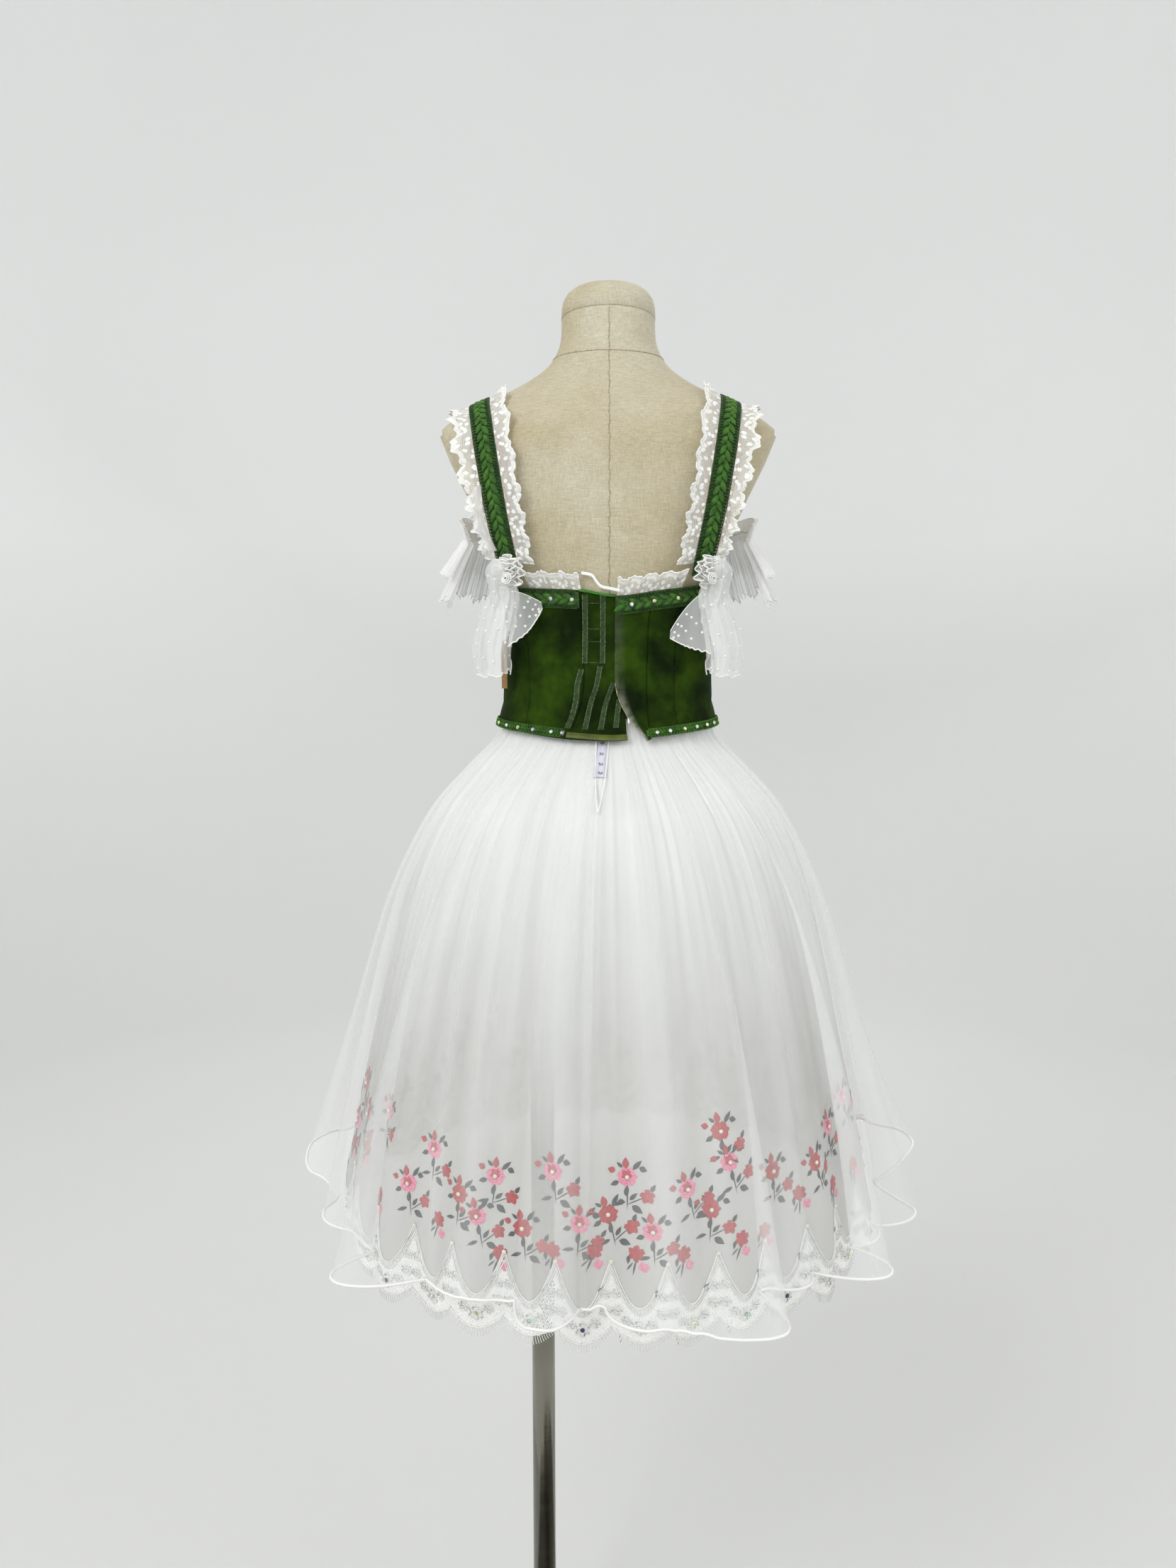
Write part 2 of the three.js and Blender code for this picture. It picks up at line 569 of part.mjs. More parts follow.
function makeSleeves() {
  for (const [name, place] of [['left', mirrored], ['right', (g) => g]]) {
    const frill = wall(frillPoint, steps(FRILL.pleats * 2), [0, FRILL.headAt, 1], LACE);
    add(`sleeve_frill_${name}`, place(frill), MATERIAL.tulle);
    const drape = wall((turn, t) => drapePoint(turn, t, 0), steps(14, 0, 2 * Math.PI), steps(6), SHEER, true);
    add(`sleeve_drape_${name}`, place(drape), MATERIAL.tulle);
    const flap = wall((u, v) => flapPoint(FLAPS[name], u, v), steps(4), steps(3), LACE);
    add(`sleeve_flap_${name}`, place(flap), MATERIAL.tulle);
  }
  // A nude elastic hangs out below the left drape, against its wall
  const elastic = { turn: -Math.PI / 2, half: 0.22, from: 0.7, to: 1.1, inset: SHEER + 1.6, drop: 130 };
  const face = (turn, t) => {
    const p = drapePoint(turn, Math.min(t, 1), elastic.inset);
    return p.setZ(p.z - Math.max(0, t - 1) * elastic.drop);
  };
  const turns = steps(2, elastic.turn - elastic.half, elastic.turn + elastic.half);
  add('elastic_nude', mirrored(wall(face, turns, steps(5, elastic.from, elastic.to), 1.2)), MATERIAL.elastic);
}

// Skirts

// The overskirt between its folds. `s` is the share of its length from the waist down.
const SKIRT = [
  { s: 0, z: 1300, side: 124.6, back: 87.6, round: 2.25 },
  { s: 0.025, z: 1286, side: 126.4, back: 90, round: 2.25 },
  { s: 0.05, z: 1271, side: 134, back: 99, round: 2.2 },
  { s: 0.1, z: 1240, side: 163, back: 134, round: 2.1 },
  { s: 0.18, z: 1195, side: 203, back: 178, round: 2 },
  { s: 0.28, z: 1140, side: 233, back: 210, round: 2 },
  { s: 0.38, z: 1084, side: 255, back: 233, round: 2 },
  { s: 0.5, z: 1015, side: 273, back: 254, round: 2 },
  { s: 0.62, z: 945, side: 288, back: 270, round: 2 },
  { s: 0.74, z: 877, side: 302, back: 283, round: 2 },
  { s: 0.88, z: 795, side: 318, back: 294, round: 2 },
  { s: 1, z: 724, side: 330, back: 300, round: 2 },
];

// Folds of the overskirt: azimuth of the crest, how far it stands out at the hem, its half widths
// in degrees, how far the crest leans over sideways, and how late it grows on its way down
const OVER_FOLDS = [
  { az: -167, out: 56, before: 9, after: 8, lean: 1, growth: 1.3 },
  { az: -150, out: 30, before: 8, after: 8, lean: 0, growth: 1.3 },
  { az: -133, out: 54, before: 9, after: 8, lean: 2, growth: 1.3 },
  { az: -113, out: 38, before: 9, after: 9, lean: 0, growth: 1.6 },
  { az: -88, out: 52, before: 12, after: 10, lean: 0, growth: 2 },
  { az: -71, out: 22, before: 8, after: 8, lean: 0, growth: 1.3 },
  { az: -47, out: 64, before: 7, after: 9, lean: -2.5, growth: 1.2 },
  { az: -30, out: 12, before: 9, after: 9, lean: 0, growth: 1.2 },
  { az: -12, out: 44, before: 7, after: 6, lean: 0, growth: 1.2 },
  { az: 5, out: 24, before: 6, after: 8, lean: 0, growth: 1.2 },
  { az: 23, out: 76, before: 24, after: 7, lean: 2.5, growth: 1.2 },
  { az: 38, out: 18, before: 6, after: 5, lean: 0, growth: 1.2 },
  { az: 49.5, out: 60, before: 7, after: 7, lean: 2, growth: 1.2 },
  { az: 62, out: 18, before: 6, after: 6, lean: 0, growth: 1.2 },
  { az: 73, out: 46, before: 8, after: 6, lean: 1, growth: 1.6 },
  { az: 86, out: 72, before: 7, after: 10, lean: -1, growth: 3 },
  { az: 106, out: 36, before: 9, after: 9, lean: 0, growth: 1.6 },
  { az: 124, out: 56, before: 9, after: 8, lean: 1.5, growth: 1.3 },
  { az: 141, out: 30, before: 8, after: 8, lean: 0, growth: 1.3 },
  { az: 158, out: 54, before: 8, after: 9, lean: -2, growth: 1.3 },
  { az: 176, out: 34, before: 8, after: 8, lean: 0, growth: 1.3 },
];

// Where the overskirt's hem ends: it rises at the sides, where its folds flare
const HEM = [
  { az: -180, s: 0.96 },
  { az: -110, s: 0.95 },
  { az: -91, s: 0.93 },
  { az: -76, s: 1 },
  { az: 0, s: 1 },
  { az: 74, s: 1 },
  { az: 88, s: 0.9 },
  { az: 110, s: 0.95 },
  { az: 180, s: 0.96 },
];

// A point of a skirt layer. `inset` is how far the layer lies inside the overskirt.
function skirtPoint(az, s, folds, inset) {
  let [out, lean] = [0, 0];
  for (const fold of folds) {
    const gap = wrapAz(az - fold.az);
    const t = gap < 0 ? -gap / fold.before : gap / fold.after;
    if (t < 1) {
      const bell = Math.cos((Math.PI * t) / 2) ** 2 * s ** fold.growth;
      out += fold.out * bell;
      lean += fold.lean * bell;
    }
  }
  const side = column(SKIRT, 's', 'side', s) - inset;
  const back = column(SKIRT, 's', 'back', s) - inset;
  const round = column(SKIRT, 's', 'round', s);
  const way = outward(az + lean);
  const power = (Math.abs(way.x) / side) ** round + (Math.abs(way.y) / back) ** round;
  return way.multiplyScalar(power ** (-1 / round) + out).setZ(column(SKIRT, 's', 'z', s));
}

const FLOWER_FOLDS = Array.from({ length: 18 }, (_, i) => ({
  az: -170 + 20 * i + 3 * Math.sin(1.7 * i), out: 9 + 3 * Math.sin(2.3 * i), before: 9, after: 9,
  lean: 0, growth: 1.3,
}));
const PETTICOAT_FOLDS = Array.from({ length: 12 }, (_, i) => ({
  az: -165 + 30 * i, out: 12, before: 14, after: 14, lean: 0, growth: 2,
}));
const SINK = { flower: SHEER + 2, flowerLow: 12, petticoat: 2 * SHEER + 2 + SEAM, petticoatLow: 30 };
const flowerInset = (s) => SINK.flower + SINK.flowerLow * smoothstep(s, 0, 0.5);
const over = (off) => (az, s) => skirtPoint(az, s, OVER_FOLDS, off);
const petticoat = (off) => (az, s) => skirtPoint(az, s, PETTICOAT_FOLDS,
  SINK.petticoat + SINK.petticoatLow * smoothstep(s, 0, 0.6) + off);

// Below the overskirt's length the flowered net hangs straight down
function flower(az, s, off = 0) {
  const reach = Math.min(s, 1);
  const p = skirtPoint(az, reach, FLOWER_FOLDS, flowerInset(reach) + off);
  const length = 620;
  p.z -= (s - reach) * length;
  return p;
}

// The lace border's repeat: points between round dips above, scallops below, and a flower between
// two gaps in each scallop
const BORDER = {
  repeats: 32, columns: 3, point: 0.925, dip: 1.01, notch: 1.045, foot: 1.07, seam: 0.0015,
  gapAside: 0.17, gapAt: 1.024, gapR: 4,
};
const scallop = (az) => Math.abs(Math.sin(rad(az) * BORDER.repeats * 0.5));
const borderTop = (az) => lerp(BORDER.point, BORDER.dip, scallop(az));
const borderFoot = (az) => lerp(BORDER.notch, BORDER.foot, scallop(az));

function makeBorder(name, start) {
  const margin = 0.1;
  const half = BORDER.repeats / 2;
  const inner = steps(half * BORDER.columns, 0, 180).slice(1, -1);
  const azs = [margin, ...inner, 180 - margin].map((az) => az + start);
  const face = (off) => (az, v) => flower(az, lerp(borderFoot(az), borderTop(az), v), off);
  const strip = shell(face(0), face(LACE), azs, [0, 1]);
  const gaps = [];
  for (let i = 0; i < half; i += 1) {
    for (const way of [-1, 1]) {
      const az = start + (180 / half) * (i + 0.5 + way * BORDER.gapAside);
      const p = flower(az, BORDER.gapAt);
      const through = 16;
      const gap = new THREE.CylinderGeometry(BORDER.gapR, BORDER.gapR, through, 3).rotateZ(rad(az));
      gaps.push(gap.translate(p.x, p.y, p.z));
    }
  }
  add(name, cut(strip, gaps), MATERIAL.lace);
}

// The centre back opening of the overskirt, and the tape that shows in it
const SLIT = { x: -7, top: 1310, foot: 1215, half: 9, depth: 240 };
const TAPE = { az: -4.4, half: 3.2, to: 0.1, thick: 1.2 };

// Every layer has its rows at the same places, so that the layers stay nested. They run upwards.
const LAYER_ROWS = [0, 0.035, 0.1, 0.22, 0.45, 0.7];
const layerRows = (end) => [...LAYER_ROWS.filter((s) => s < end), end].reverse();

function makeSkirts() {
  const { x, top, foot, half, depth } = SLIT;
  const corners = [[x - half, top], [x, foot], [x + half, top]];
  const wedge = new THREE.Shape(corners.map(([a, b]) => new THREE.Vector2(a, b)));
  const slit = new THREE.ExtrudeGeometry(wedge, { depth, bevelEnabled: false }).rotateX(Math.PI / 2);
  const hemmed = (off) => (az, row) => over(off)(az, Math.min(row, column(HEM, 'az', 's', az)));
  const overskirt = shell(hemmed(0), hemmed(SHEER), steps(104, -180, 180), layerRows(1), true);
  add('overskirt', cut(overskirt, [slit]), MATERIAL.organza);

  // The net's last row follows the border's points
  const lowest = 0.69;
  const net = (off) => (az, row) => flower(az, row < lowest ? row : borderTop(az) - BORDER.seam, off);
  const netSteps = steps(BORDER.repeats * BORDER.columns, -180, 180);
  add('flower_skirt', shell(net(0), net(SHEER), netSteps, layerRows(lowest), true), MATERIAL.flowerNet);
  makeBorder('lace_border_left', -180);
  makeBorder('lace_border_right', 0);

  add('petticoat', shell(petticoat(0), petticoat(SHEER), steps(40, -180, 180), layerRows(0.7), true),
    MATERIAL.tulle);
  const band = (off) => (az, z) => onForm(az, z, SEAM + off);
  add('waistband', shell(band(BAND_THICK), band(0), steps(24, -180, 180), [BAND_LOW, BAND_TOP], true),
    MATERIAL.tape);

  const tape = (off) => (az, s) => flower(az, s, -SEAM - off);
  const tapeSteps = [TAPE.az - TAPE.half, TAPE.az, TAPE.az + TAPE.half];
  add('back_tape', shell(tape(TAPE.thick), tape(0), tapeSteps, layerRows(TAPE.to)), MATERIAL.tape);
}

makeStand();
makeForm();
makeBodice();
makeTrims();
makeStraps();
makeTopLace();
makeSleeves();
makeSkirts();

export default dress;
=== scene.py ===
"""The ballet dress on its dress form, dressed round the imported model. Tables and lengths here are in millimetres
and azimuths in degrees (0 is the centre back, +90 is +X). Every mesh is written in metres."""

import math

import bmesh
import bpy
import numpy as np
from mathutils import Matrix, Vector


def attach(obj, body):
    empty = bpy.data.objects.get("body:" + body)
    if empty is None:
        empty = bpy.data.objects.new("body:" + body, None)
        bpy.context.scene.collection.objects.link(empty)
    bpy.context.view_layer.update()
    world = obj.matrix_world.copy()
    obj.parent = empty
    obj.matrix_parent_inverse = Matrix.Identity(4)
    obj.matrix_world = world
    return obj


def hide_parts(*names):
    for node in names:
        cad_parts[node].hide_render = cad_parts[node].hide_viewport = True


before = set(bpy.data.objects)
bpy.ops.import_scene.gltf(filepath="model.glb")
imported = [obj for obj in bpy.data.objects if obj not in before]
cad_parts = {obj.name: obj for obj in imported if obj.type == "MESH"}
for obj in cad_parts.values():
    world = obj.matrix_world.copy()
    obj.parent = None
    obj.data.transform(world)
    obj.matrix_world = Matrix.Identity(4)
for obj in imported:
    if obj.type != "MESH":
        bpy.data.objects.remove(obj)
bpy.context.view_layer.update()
BODY = "root"
MM = 0.001

# Sizes shared with the solids

SEAM = 0.3
VELVET = 2
OVERLAY = 0.6
LACE = 1
SHEER = 1.4
NECK_SEAM_Z = 1748
NECK_TILT = 0.1
HIP_Z = 1072
BRAID = {"height": 20, "thick": 2}
GIMP = {"height": 9}
STRAP = {"width": 22, "clear": 1.6, "left_shift": 8}


def table(names, *rows):
    """The columns of a small table, by name."""
    return dict(zip(names.split(), np.array(rows, float).T))


FORM = table(
    "z side back front round",
    (1072, 150, 92, 88, 2.2),
    (1084, 164, 104, 98, 2.2),
    (1125, 166, 108, 100, 2.2),
    (1185, 152, 101, 93, 2.2),
    (1240, 128, 88, 85, 2.25),
    (1285, 117.2, 80.2, 80.2, 2.25),
    (1300, 115.6, 78.7, 78.7, 2.25),
    (1320, 116, 79.4, 79.4, 2.25),
    (1365, 117.5, 83, 86, 2.4),
    (1388, 115.5, 84.5, 93, 2.5),
    (1410, 115.5, 86.6, 101, 2.6),
    (1432, 119.5, 90.5, 107, 2.7),
    (1455, 126, 93.5, 113.5, 2.7),
    (1478, 132, 95, 113.5, 2.75),
    (1500, 138, 96, 110, 2.8),
    (1545, 160, 95, 92, 2.8),
    (1590, 182, 92, 78, 2.7),
    (1620, 194, 86, 68, 2.4),
    (1643, 168, 78, 60, 2),
    (1661, 130, 71, 55, 1.85),
    (1676, 99, 65, 53, 1.85),
    (1690, 76, 61, 53, 1.95),
    (1704, 63, 57, 53, 2),
    (1722, 55, 53, 53, 2),
    (1748, 53, 50, 54, 2),
)
BODICE = table(
    "z side back front round",
    (1255, 154, 119, 119, 2.25),
    (1271, 140, 106, 106, 2.3),
    (1286, 129.4, 93.6, 93.6, 2.3),
    (1300, 125.4, 88.8, 88.8, 2.3),
    (1320, 121.4, 85.6, 87, 2.3),
    (1365, 119.6, 85.4, 91, 2.4),
    (1410, 117.2, 88.2, 105, 2.6),
    (1455, 127.6, 95, 121, 2.8),
    (1500, 140, 97, 115, 2.8),
    (1550, 164, 98, 100, 2.8),
)
EDGES = table(
    "az top bottom",
    (-180, 1484, 1266),
    (-150, 1497, 1272),
    (-118, 1482, 1282),
    (-90, 1462, 1288),
    (-60, 1447, 1285),
    (-20, 1442, 1279),
    (4, 1436, 1277),
    (31, 1442, 1281),
    (60, 1450, 1286),
    (90, 1462, 1289),
    (118, 1482, 1282),
    (150, 1497, 1272),
    (180, 1484, 1266),
)


# Reading tables and sections


def read(rows, by, name, at):
    """Smooth reading of one column of a table whose rows rise in `by`."""
    x, y = rows[by], rows[name]
    at = np.asarray(at, float)
    i = np.clip(np.searchsorted(x, at) - 1, 0, len(x) - 2)
    before, after = np.maximum(i - 1, 0), np.minimum(i + 2, len(x) - 1)
    span = x[i + 1] - x[i]
    t = np.clip((at - x[i]) / span, 0, 1)
    slope_a = (y[i + 1] - y[before]) / (x[i + 1] - x[before]) * span
    slope_b = (y[after] - y[i]) / (x[after] - x[i]) * span
    t2, t3 = t * t, t * t * t
    return (
        y[i] * (2 * t3 - 3 * t2 + 1)
        + slope_a * (t3 - 2 * t2 + t)
        + y[i + 1] * (3 * t2 - 2 * t3)
        + slope_b * (t3 - t2)
    )


def wrap(az):
    return (np.asarray(az, float) + 180) % 360 - 180


def edge(name, az):
    return read(EDGES, "az", name, wrap(az))


def outward(az):
    a = np.radians(az)
    return np.stack([np.sin(a), -np.cos(a), 0 * a], -1)


def smoothstep(x, low, high):
    t = np.clip((np.asarray(x, float) - low) / (high - low), 0, 1)
    return t * t * (3 - 2 * t)


def mix(a, b, t):
    return a + (b - a) * t


def section(rows, az, z, off=0.0, by="z", front=True):
    """Points of sections at azimuths and heights, with their half width and depths grown by `off`."""
    way = outward(az)
    side = read(rows, by, "side", z) + off
    depth = read(rows, by, "back", z) + off
    if front:
        depth = np.where(way[..., 1] < 0, depth, read(rows, by, "front", z) + off)
    power = read(rows, by, "round", z)
    reach = ((np.abs(way[..., 0]) / side) ** power + (np.abs(way[..., 1]) / depth) ** power) ** (-1 / power)
    height = read(rows, by, "z", z) if by != "z" else z
    return np.stack([way[..., 0] * reach, way[..., 1] * reach, height + 0 * reach], -1)


def on_form(az, z, off=0.0):
    return section(FORM, az, z, off)


def on_bodice(az, z, off=0.0):
    return section(BODICE, az, z, off)


def unit(v):
    return v / np.maximum(np.linalg.norm(v, axis=-1, keepdims=True), 1e-9)


# Meshes


def lengths(points, axis):
    """How far along a grid each of its lines lies, on average, starting at 0."""
    step = np.linalg.norm(np.diff(points, axis=axis), axis=-1).mean(axis=1 - axis)
    return np.concatenate([[0], np.cumsum(step)])


def new_mesh(name, points, faces, uvs=None, smooth=True):
    """A mesh object from points in millimetres and faces of one size, with a UV in metres for each corner."""
    mesh = bpy.data.meshes.new(name)
    faces = np.asarray(faces, np.int32)
    mesh.vertices.add(len(points))
    mesh.vertices.foreach_set("co", (np.asarray(points) * MM).astype(np.float32).ravel())
    mesh.loops.add(faces.size)
    mesh.loops.foreach_set("vertex_index", faces.ravel())
    mesh.polygons.add(len(faces))
    mesh.polygons.foreach_set("loop_start", np.arange(len(faces), dtype=np.int32) * faces.shape[1])
    if uvs is not None:
        layer = mesh.uv_layers.new(name="UVMap")
        layer.data.foreach_set("uv", (np.asarray(uvs) * MM).astype(np.float32).ravel())
    mesh.update(calc_edges=True)
    mesh.validate()
    if smooth:
        mesh.shade_smooth()
    made = bpy.data.objects.new(name, mesh)
    bpy.context.scene.collection.objects.link(made)
    return made


def lattice(points, closed=False):
    """Faces and UVs through a grid of points, rows by columns. A closed one joins its last column to its first."""
    rows, columns = points.shape[:2]
    count = columns if closed else columns - 1
    i, j = np.meshgrid(np.arange(count), np.arange(rows - 1))
    after = (i + 1) % columns
    faces = np.stack([j * columns + i, j * columns + after, (j + 1) * columns + after, (j + 1) * columns + i], -1)
    ring = np.concatenate([points, points[:, :1]], axis=1) if closed else points
    u, v = lengths(ring, 1), lengths(ring, 0)
    corners = ((0, 0), (1, 0), (1, 1), (0, 1))
    uvs = np.stack([np.stack([u[i + a], v[j + b]], -1) for a, b in corners], axis=-2)
    return faces.reshape(-1, 4), uvs.reshape(-1, 2)


def grid(name, points, closed=False):
    """A sheet through a grid of points, as an object."""
    return new_mesh(name, points.reshape(-1, 3), *lattice(points, closed))


def shell(name, outer, inner, closed=False):
    """A cloth wall between two grids of points, closed along its edges."""
    loop = np.concatenate([outer, inner[::-1], outer[:1]], axis=0)
    made = grid(name, loop, closed)
    rows, columns = loop.shape[:2]
    if not closed:
        half = len(outer)
        for column in (0, columns - 1):
            first = [r * columns + column for r in range(half)]
            second = [(rows - 2 - r) * columns + column for r in range(half)]
            add_rim(made, first, second)
    weld(made)
    return made


def add_rim(made, first, second):
    """Closes the open end between two rows of a wall's points."""
    mesh = made.data
    start_loops, start_faces = len(mesh.loops), len(mesh.polygons)
    quads = [[first[k], first[k + 1], second[k + 1], second[k]] for k in range(len(first) - 1)]
    mesh.loops.add(4 * len(quads))
    mesh.polygons.add(len(quads))
    for k, quad in enumerate(quads):
        mesh.polygons[start_faces + k].loop_start = start_loops + 4 * k
        for c, vertex in enumerate(quad):
            mesh.loops[start_loops + 4 * k + c].vertex_index = vertex
    mesh.update(calc_edges=True)
    mesh.validate()
    mesh.shade_smooth()


def weld(made, near=1e-6):
    """Merges points that lie on each other and turns the faces outwards."""
    work = bmesh.new()
    work.from_mesh(made.data)
    bmesh.ops.remove_doubles(work, verts=work.verts, dist=near)
    bmesh.ops.recalc_face_normals(work, faces=work.faces)
    work.to_mesh(made.data)
    work.free()


def lathe(name, profile, middle=(0, 0), segments=96):
    """A turned solid from (radius, z) points, which start and end on the axis."""
    turn = np.linspace(0, 360, segments, endpoint=False)
    rings = [np.stack([r * np.sin(np.radians(turn)) + middle[0], -r * np.cos(np.radians(turn)) + middle[1],
                       np.full(segments, z)], -1) for r, z in profile]
    made = grid(name, np.array(rings), closed=True)
    weld(made)
    return made


def tube(path, radius, sides=6, closed=False):
    """A round cord along a path. The radius is one number or one for each point."""
    path = np.asarray(path, float)
    if closed:
        ahead, behind = np.roll(path, -1, 0), np.roll(path, 1, 0)
        tangent = unit(ahead - behind)
    else:
        tangent = unit(np.gradient(path, axis=0))
    reference = np.where(np.abs(tangent[:, 2:]) < 0.9, [[0, 0, 1.0]], [[1.0, 0, 0]])
    side = unit(np.cross(tangent, reference))
    up = np.cross(side, tangent)
    turn = np.linspace(0, 2 * math.pi, sides, endpoint=False)
    radius = np.broadcast_to(radius, len(path))[:, None, None]
    ring = np.cos(turn)[None, :, None] * side[:, None] + np.sin(turn)[None, :, None] * up[:, None]
    points = path[:, None] + radius * ring
    if closed:
        points = np.concatenate([points, points[:1]], axis=0)
    return points


# Materials


def srgb(red, green, blue, alpha=1.0):
    """A colour given by its screen values from 0 to 255."""
    values = [c / 255 for c in (red, green, blue)]
    linear = [c / 12.92 if c <= 0.04045 else ((c + 0.055) / 1.055) ** 2.4 for c in values]
    return (*linear, alpha)


class Finish:
    """A node material being built. A socket links when it is passed as an input."""

    def __init__(self, name):
        self.made = bpy.data.materials.new(name)
        self.made.use_nodes = True
        self.tree = self.made.node_tree
        self.shader = self.tree.nodes["Principled BSDF"]

    def put(self, socket, value):
        if isinstance(value, bpy.types.NodeSocket):
            self.tree.links.new(value, socket)
        else:
            socket.default_value = value

    def add(self, kind, inputs, out=0, **settings):
        node = self.tree.nodes.new(kind)
        for key, value in settings.items():
            setattr(node, key, value)
        for key, value in inputs.items():
            self.put(node.inputs[key], value)
        return node.outputs[out]

    def set(self, **inputs):
        for key, value in inputs.items():
            self.put(self.shader.inputs[key.replace("_", " ")], value)
        return self

    def uv(self, scale=(1, 1, 1), turn=0.0):
        where = self.add("ShaderNodeTexCoord", {}, out="UV")
        return self.add("ShaderNodeMapping", {"Vector": where, "Scale": scale, "Rotation": (0, 0, turn)})

    def place(self, scale=(1, 1, 1)):
        where = self.add("ShaderNodeTexCoord", {}, out="Object")
        return self.add("ShaderNodeMapping", {"Vector": where, "Scale": scale})

    def noise(self, vector, scale, detail=3.0, rough=0.5):
        inputs = {"Vector": vector, "Scale": scale, "Detail": detail, "Roughness": rough}
        return self.add("ShaderNodeTexNoise", inputs)

    def cells(self, vector, scale, **settings):
        """Distances in a flat pattern of cells."""
        inputs = {"Vector": vector, "Scale": scale}
        return self.add("ShaderNodeTexVoronoi", inputs, out="Distance", voronoi_dimensions="2D", **settings)

    def height(self):
        return self.add("ShaderNodeSeparateXYZ", {"Vector": self.place()}, out=2)

    def ramp(self, value, *stops):
        node = self.tree.nodes.new("ShaderNodeValToRGB")
        self.put(node.inputs["Fac"], value)
        while len(node.color_ramp.elements) < len(stops):
            node.color_ramp.elements.new(0.5)
        for element, (position, colour) in zip(node.color_ramp.elements, stops):
            element.position = position
            element.color = colour if hasattr(colour, "__len__") else (colour, colour, colour, 1)
        return node.outputs["Color"]

    def span(self, value, low, high, to_low, to_high):
        """A value between low and high, spread between two others."""
        inputs = {"Value": value, "From Min": low, "From Max": high, "To Min": to_low, "To Max": to_high}
        return self.add("ShaderNodeMapRange", inputs)

    def math(self, operation, *values):
        return self.add("ShaderNodeMath", dict(enumerate(values)), operation=operation)

    def blend(self, factor, a, b, mode="MIX"):
        node = self.tree.nodes.new("ShaderNodeMix")
        node.data_type = "RGBA"
        node.blend_type = mode
        self.put(node.inputs["Factor"], factor)
        self.put(node.inputs[6], a)
        self.put(node.inputs[7], b)
        return node.outputs[2]

    def bump(self, height, distance, strength=1.0):
        inputs = {"Height": height, "Distance": distance, "Strength": strength}
        return self.set(Normal=self.add("ShaderNodeBump", inputs))

    def weave(self, pitch):
        """Threads over and under at that pitch in metres, 0 to 1, from the flat cloth's coordinates."""
        inputs = {"Vector": self.uv(), "Scale": 0.5 / pitch}
        bands = [self.add("ShaderNodeTexWave", inputs, out="Fac", bands_direction=way) for way in "XY"]
        return self.math("MAXIMUM", *bands)


THREADS = (
    ("rose", (164, 20, 48), (206, 50, 82)),
    ("pink", (226, 104, 142), (244, 156, 184)),
    ("red", (150, 6, 16), (200, 22, 32)),
    ("leaf", (9, 20, 16), (28, 42, 34)),
)
STONE_COLOURS = {
    "clear": (226, 232, 238), "lilac": (214, 196, 236), "gold": (232, 228, 176), "green": (120, 190, 140),
    "blue": (30, 36, 92),
}
STONE_LIGHT, STONE_DARK = 24, 0.72


def mottled(name, dark, light, scale, detail=3, stops=(0.3, 0.7), stretch=1, bump=None, **inputs):
    """A finish that clouds between two screen colours. `bump` holds the scale, detail, depth in metres, strength
    and stretch of its grain."""
    f = Finish(name)
    tone = f.noise(f.place((1, 1, stretch)), scale, detail)
    f.set(Base_Color=f.ramp(tone, (stops[0], srgb(*dark)), (stops[1], srgb(*light))), **inputs)
    if bump:
        fine, layers, depth, strength, drawn = bump
        f.bump(f.noise(f.place((1, 1, drawn)), fine, layers), depth, strength)
    return f.made


def velvet(name, worn=False):
    """Crushed velvet. A worn one is rubbed pale along the low part of its first side."""
    f = Finish(name)
    nap = f.noise(f.place((1, 1, 0.7)), 26, 5, 0.62)
    blotch = f.noise(f.place((1, 1, 1.3)), 17, 3, 0.6)
    tone = f.math("ADD", f.math("MULTIPLY", nap, 0.45), f.math("MULTIPLY", blotch, 0.55))
    colour = f.ramp(tone, (0.39, srgb(12, 26, 2)), (0.5, srgb(28, 48, 3)), (0.61, srgb(46, 70, 7)))
    if worn:
        near = f.span(f.add("ShaderNodeSeparateXYZ", {"Vector": f.uv()}, out=0), 0.0, 0.011, 1.0, 0.0)
        low = f.span(f.height(), 1.29, 1.35, 1.0, 0.15)
        patchy = f.ramp(f.noise(f.place(), 140, 4), (0.3, 0.2), (0.7, 1.0))
        colour = f.blend(f.math("MULTIPLY", f.math("MULTIPLY", near, low), patchy), colour, srgb(172, 178, 158))
    f.set(Base_Color=colour, Roughness=0.85, Sheen_Weight=0.09, Sheen_Roughness=0.35, Sheen_Tint=srgb(140, 150, 90),
          Specular_IOR_Level=0.1)
    f.bump(f.noise(f.place(), 900, 2), 0.0004, 0.5)
    return f.made


def linen():
    """Cover cloth with the marks of age."""
    f = Finish("linen")
    thread = f.noise(f.place((1, 1, 9)), 120, 2)
    cross = f.noise(f.place((9, 9, 1)), 120, 2)
    grain = f.math("MULTIPLY", f.math("ADD", thread, cross), 0.5)
    stain = f.noise(f.place(), 7, 4, 0.6)
    base = f.ramp(grain, (0.32, srgb(180, 175, 156)), (0.66, srgb(212, 207, 190)))
    aged = f.ramp(stain, (0.35, srgb(232, 223, 202)), (0.62, srgb(255, 253, 247)))
    f.set(Base_Color=f.blend(1.0, base, aged, "MULTIPLY"), Roughness=0.9, Sheen_Weight=0.1)
    f.bump(grain, 0.0004, 0.5)
    return f.made


def steel():
    f = Finish("steel")
    brushed = f.ramp(f.noise(f.place((1, 1, 40)), 6, 2), (0.3, 0.16), (0.7, 0.26))
    tone = f.ramp(f.noise(f.place(), 5), (0.3, srgb(120, 119, 108)), (0.7, srgb(150, 148, 138)))
    f.set(Base_Color=tone, Metallic=1.0, Roughness=brushed)
    return f.made


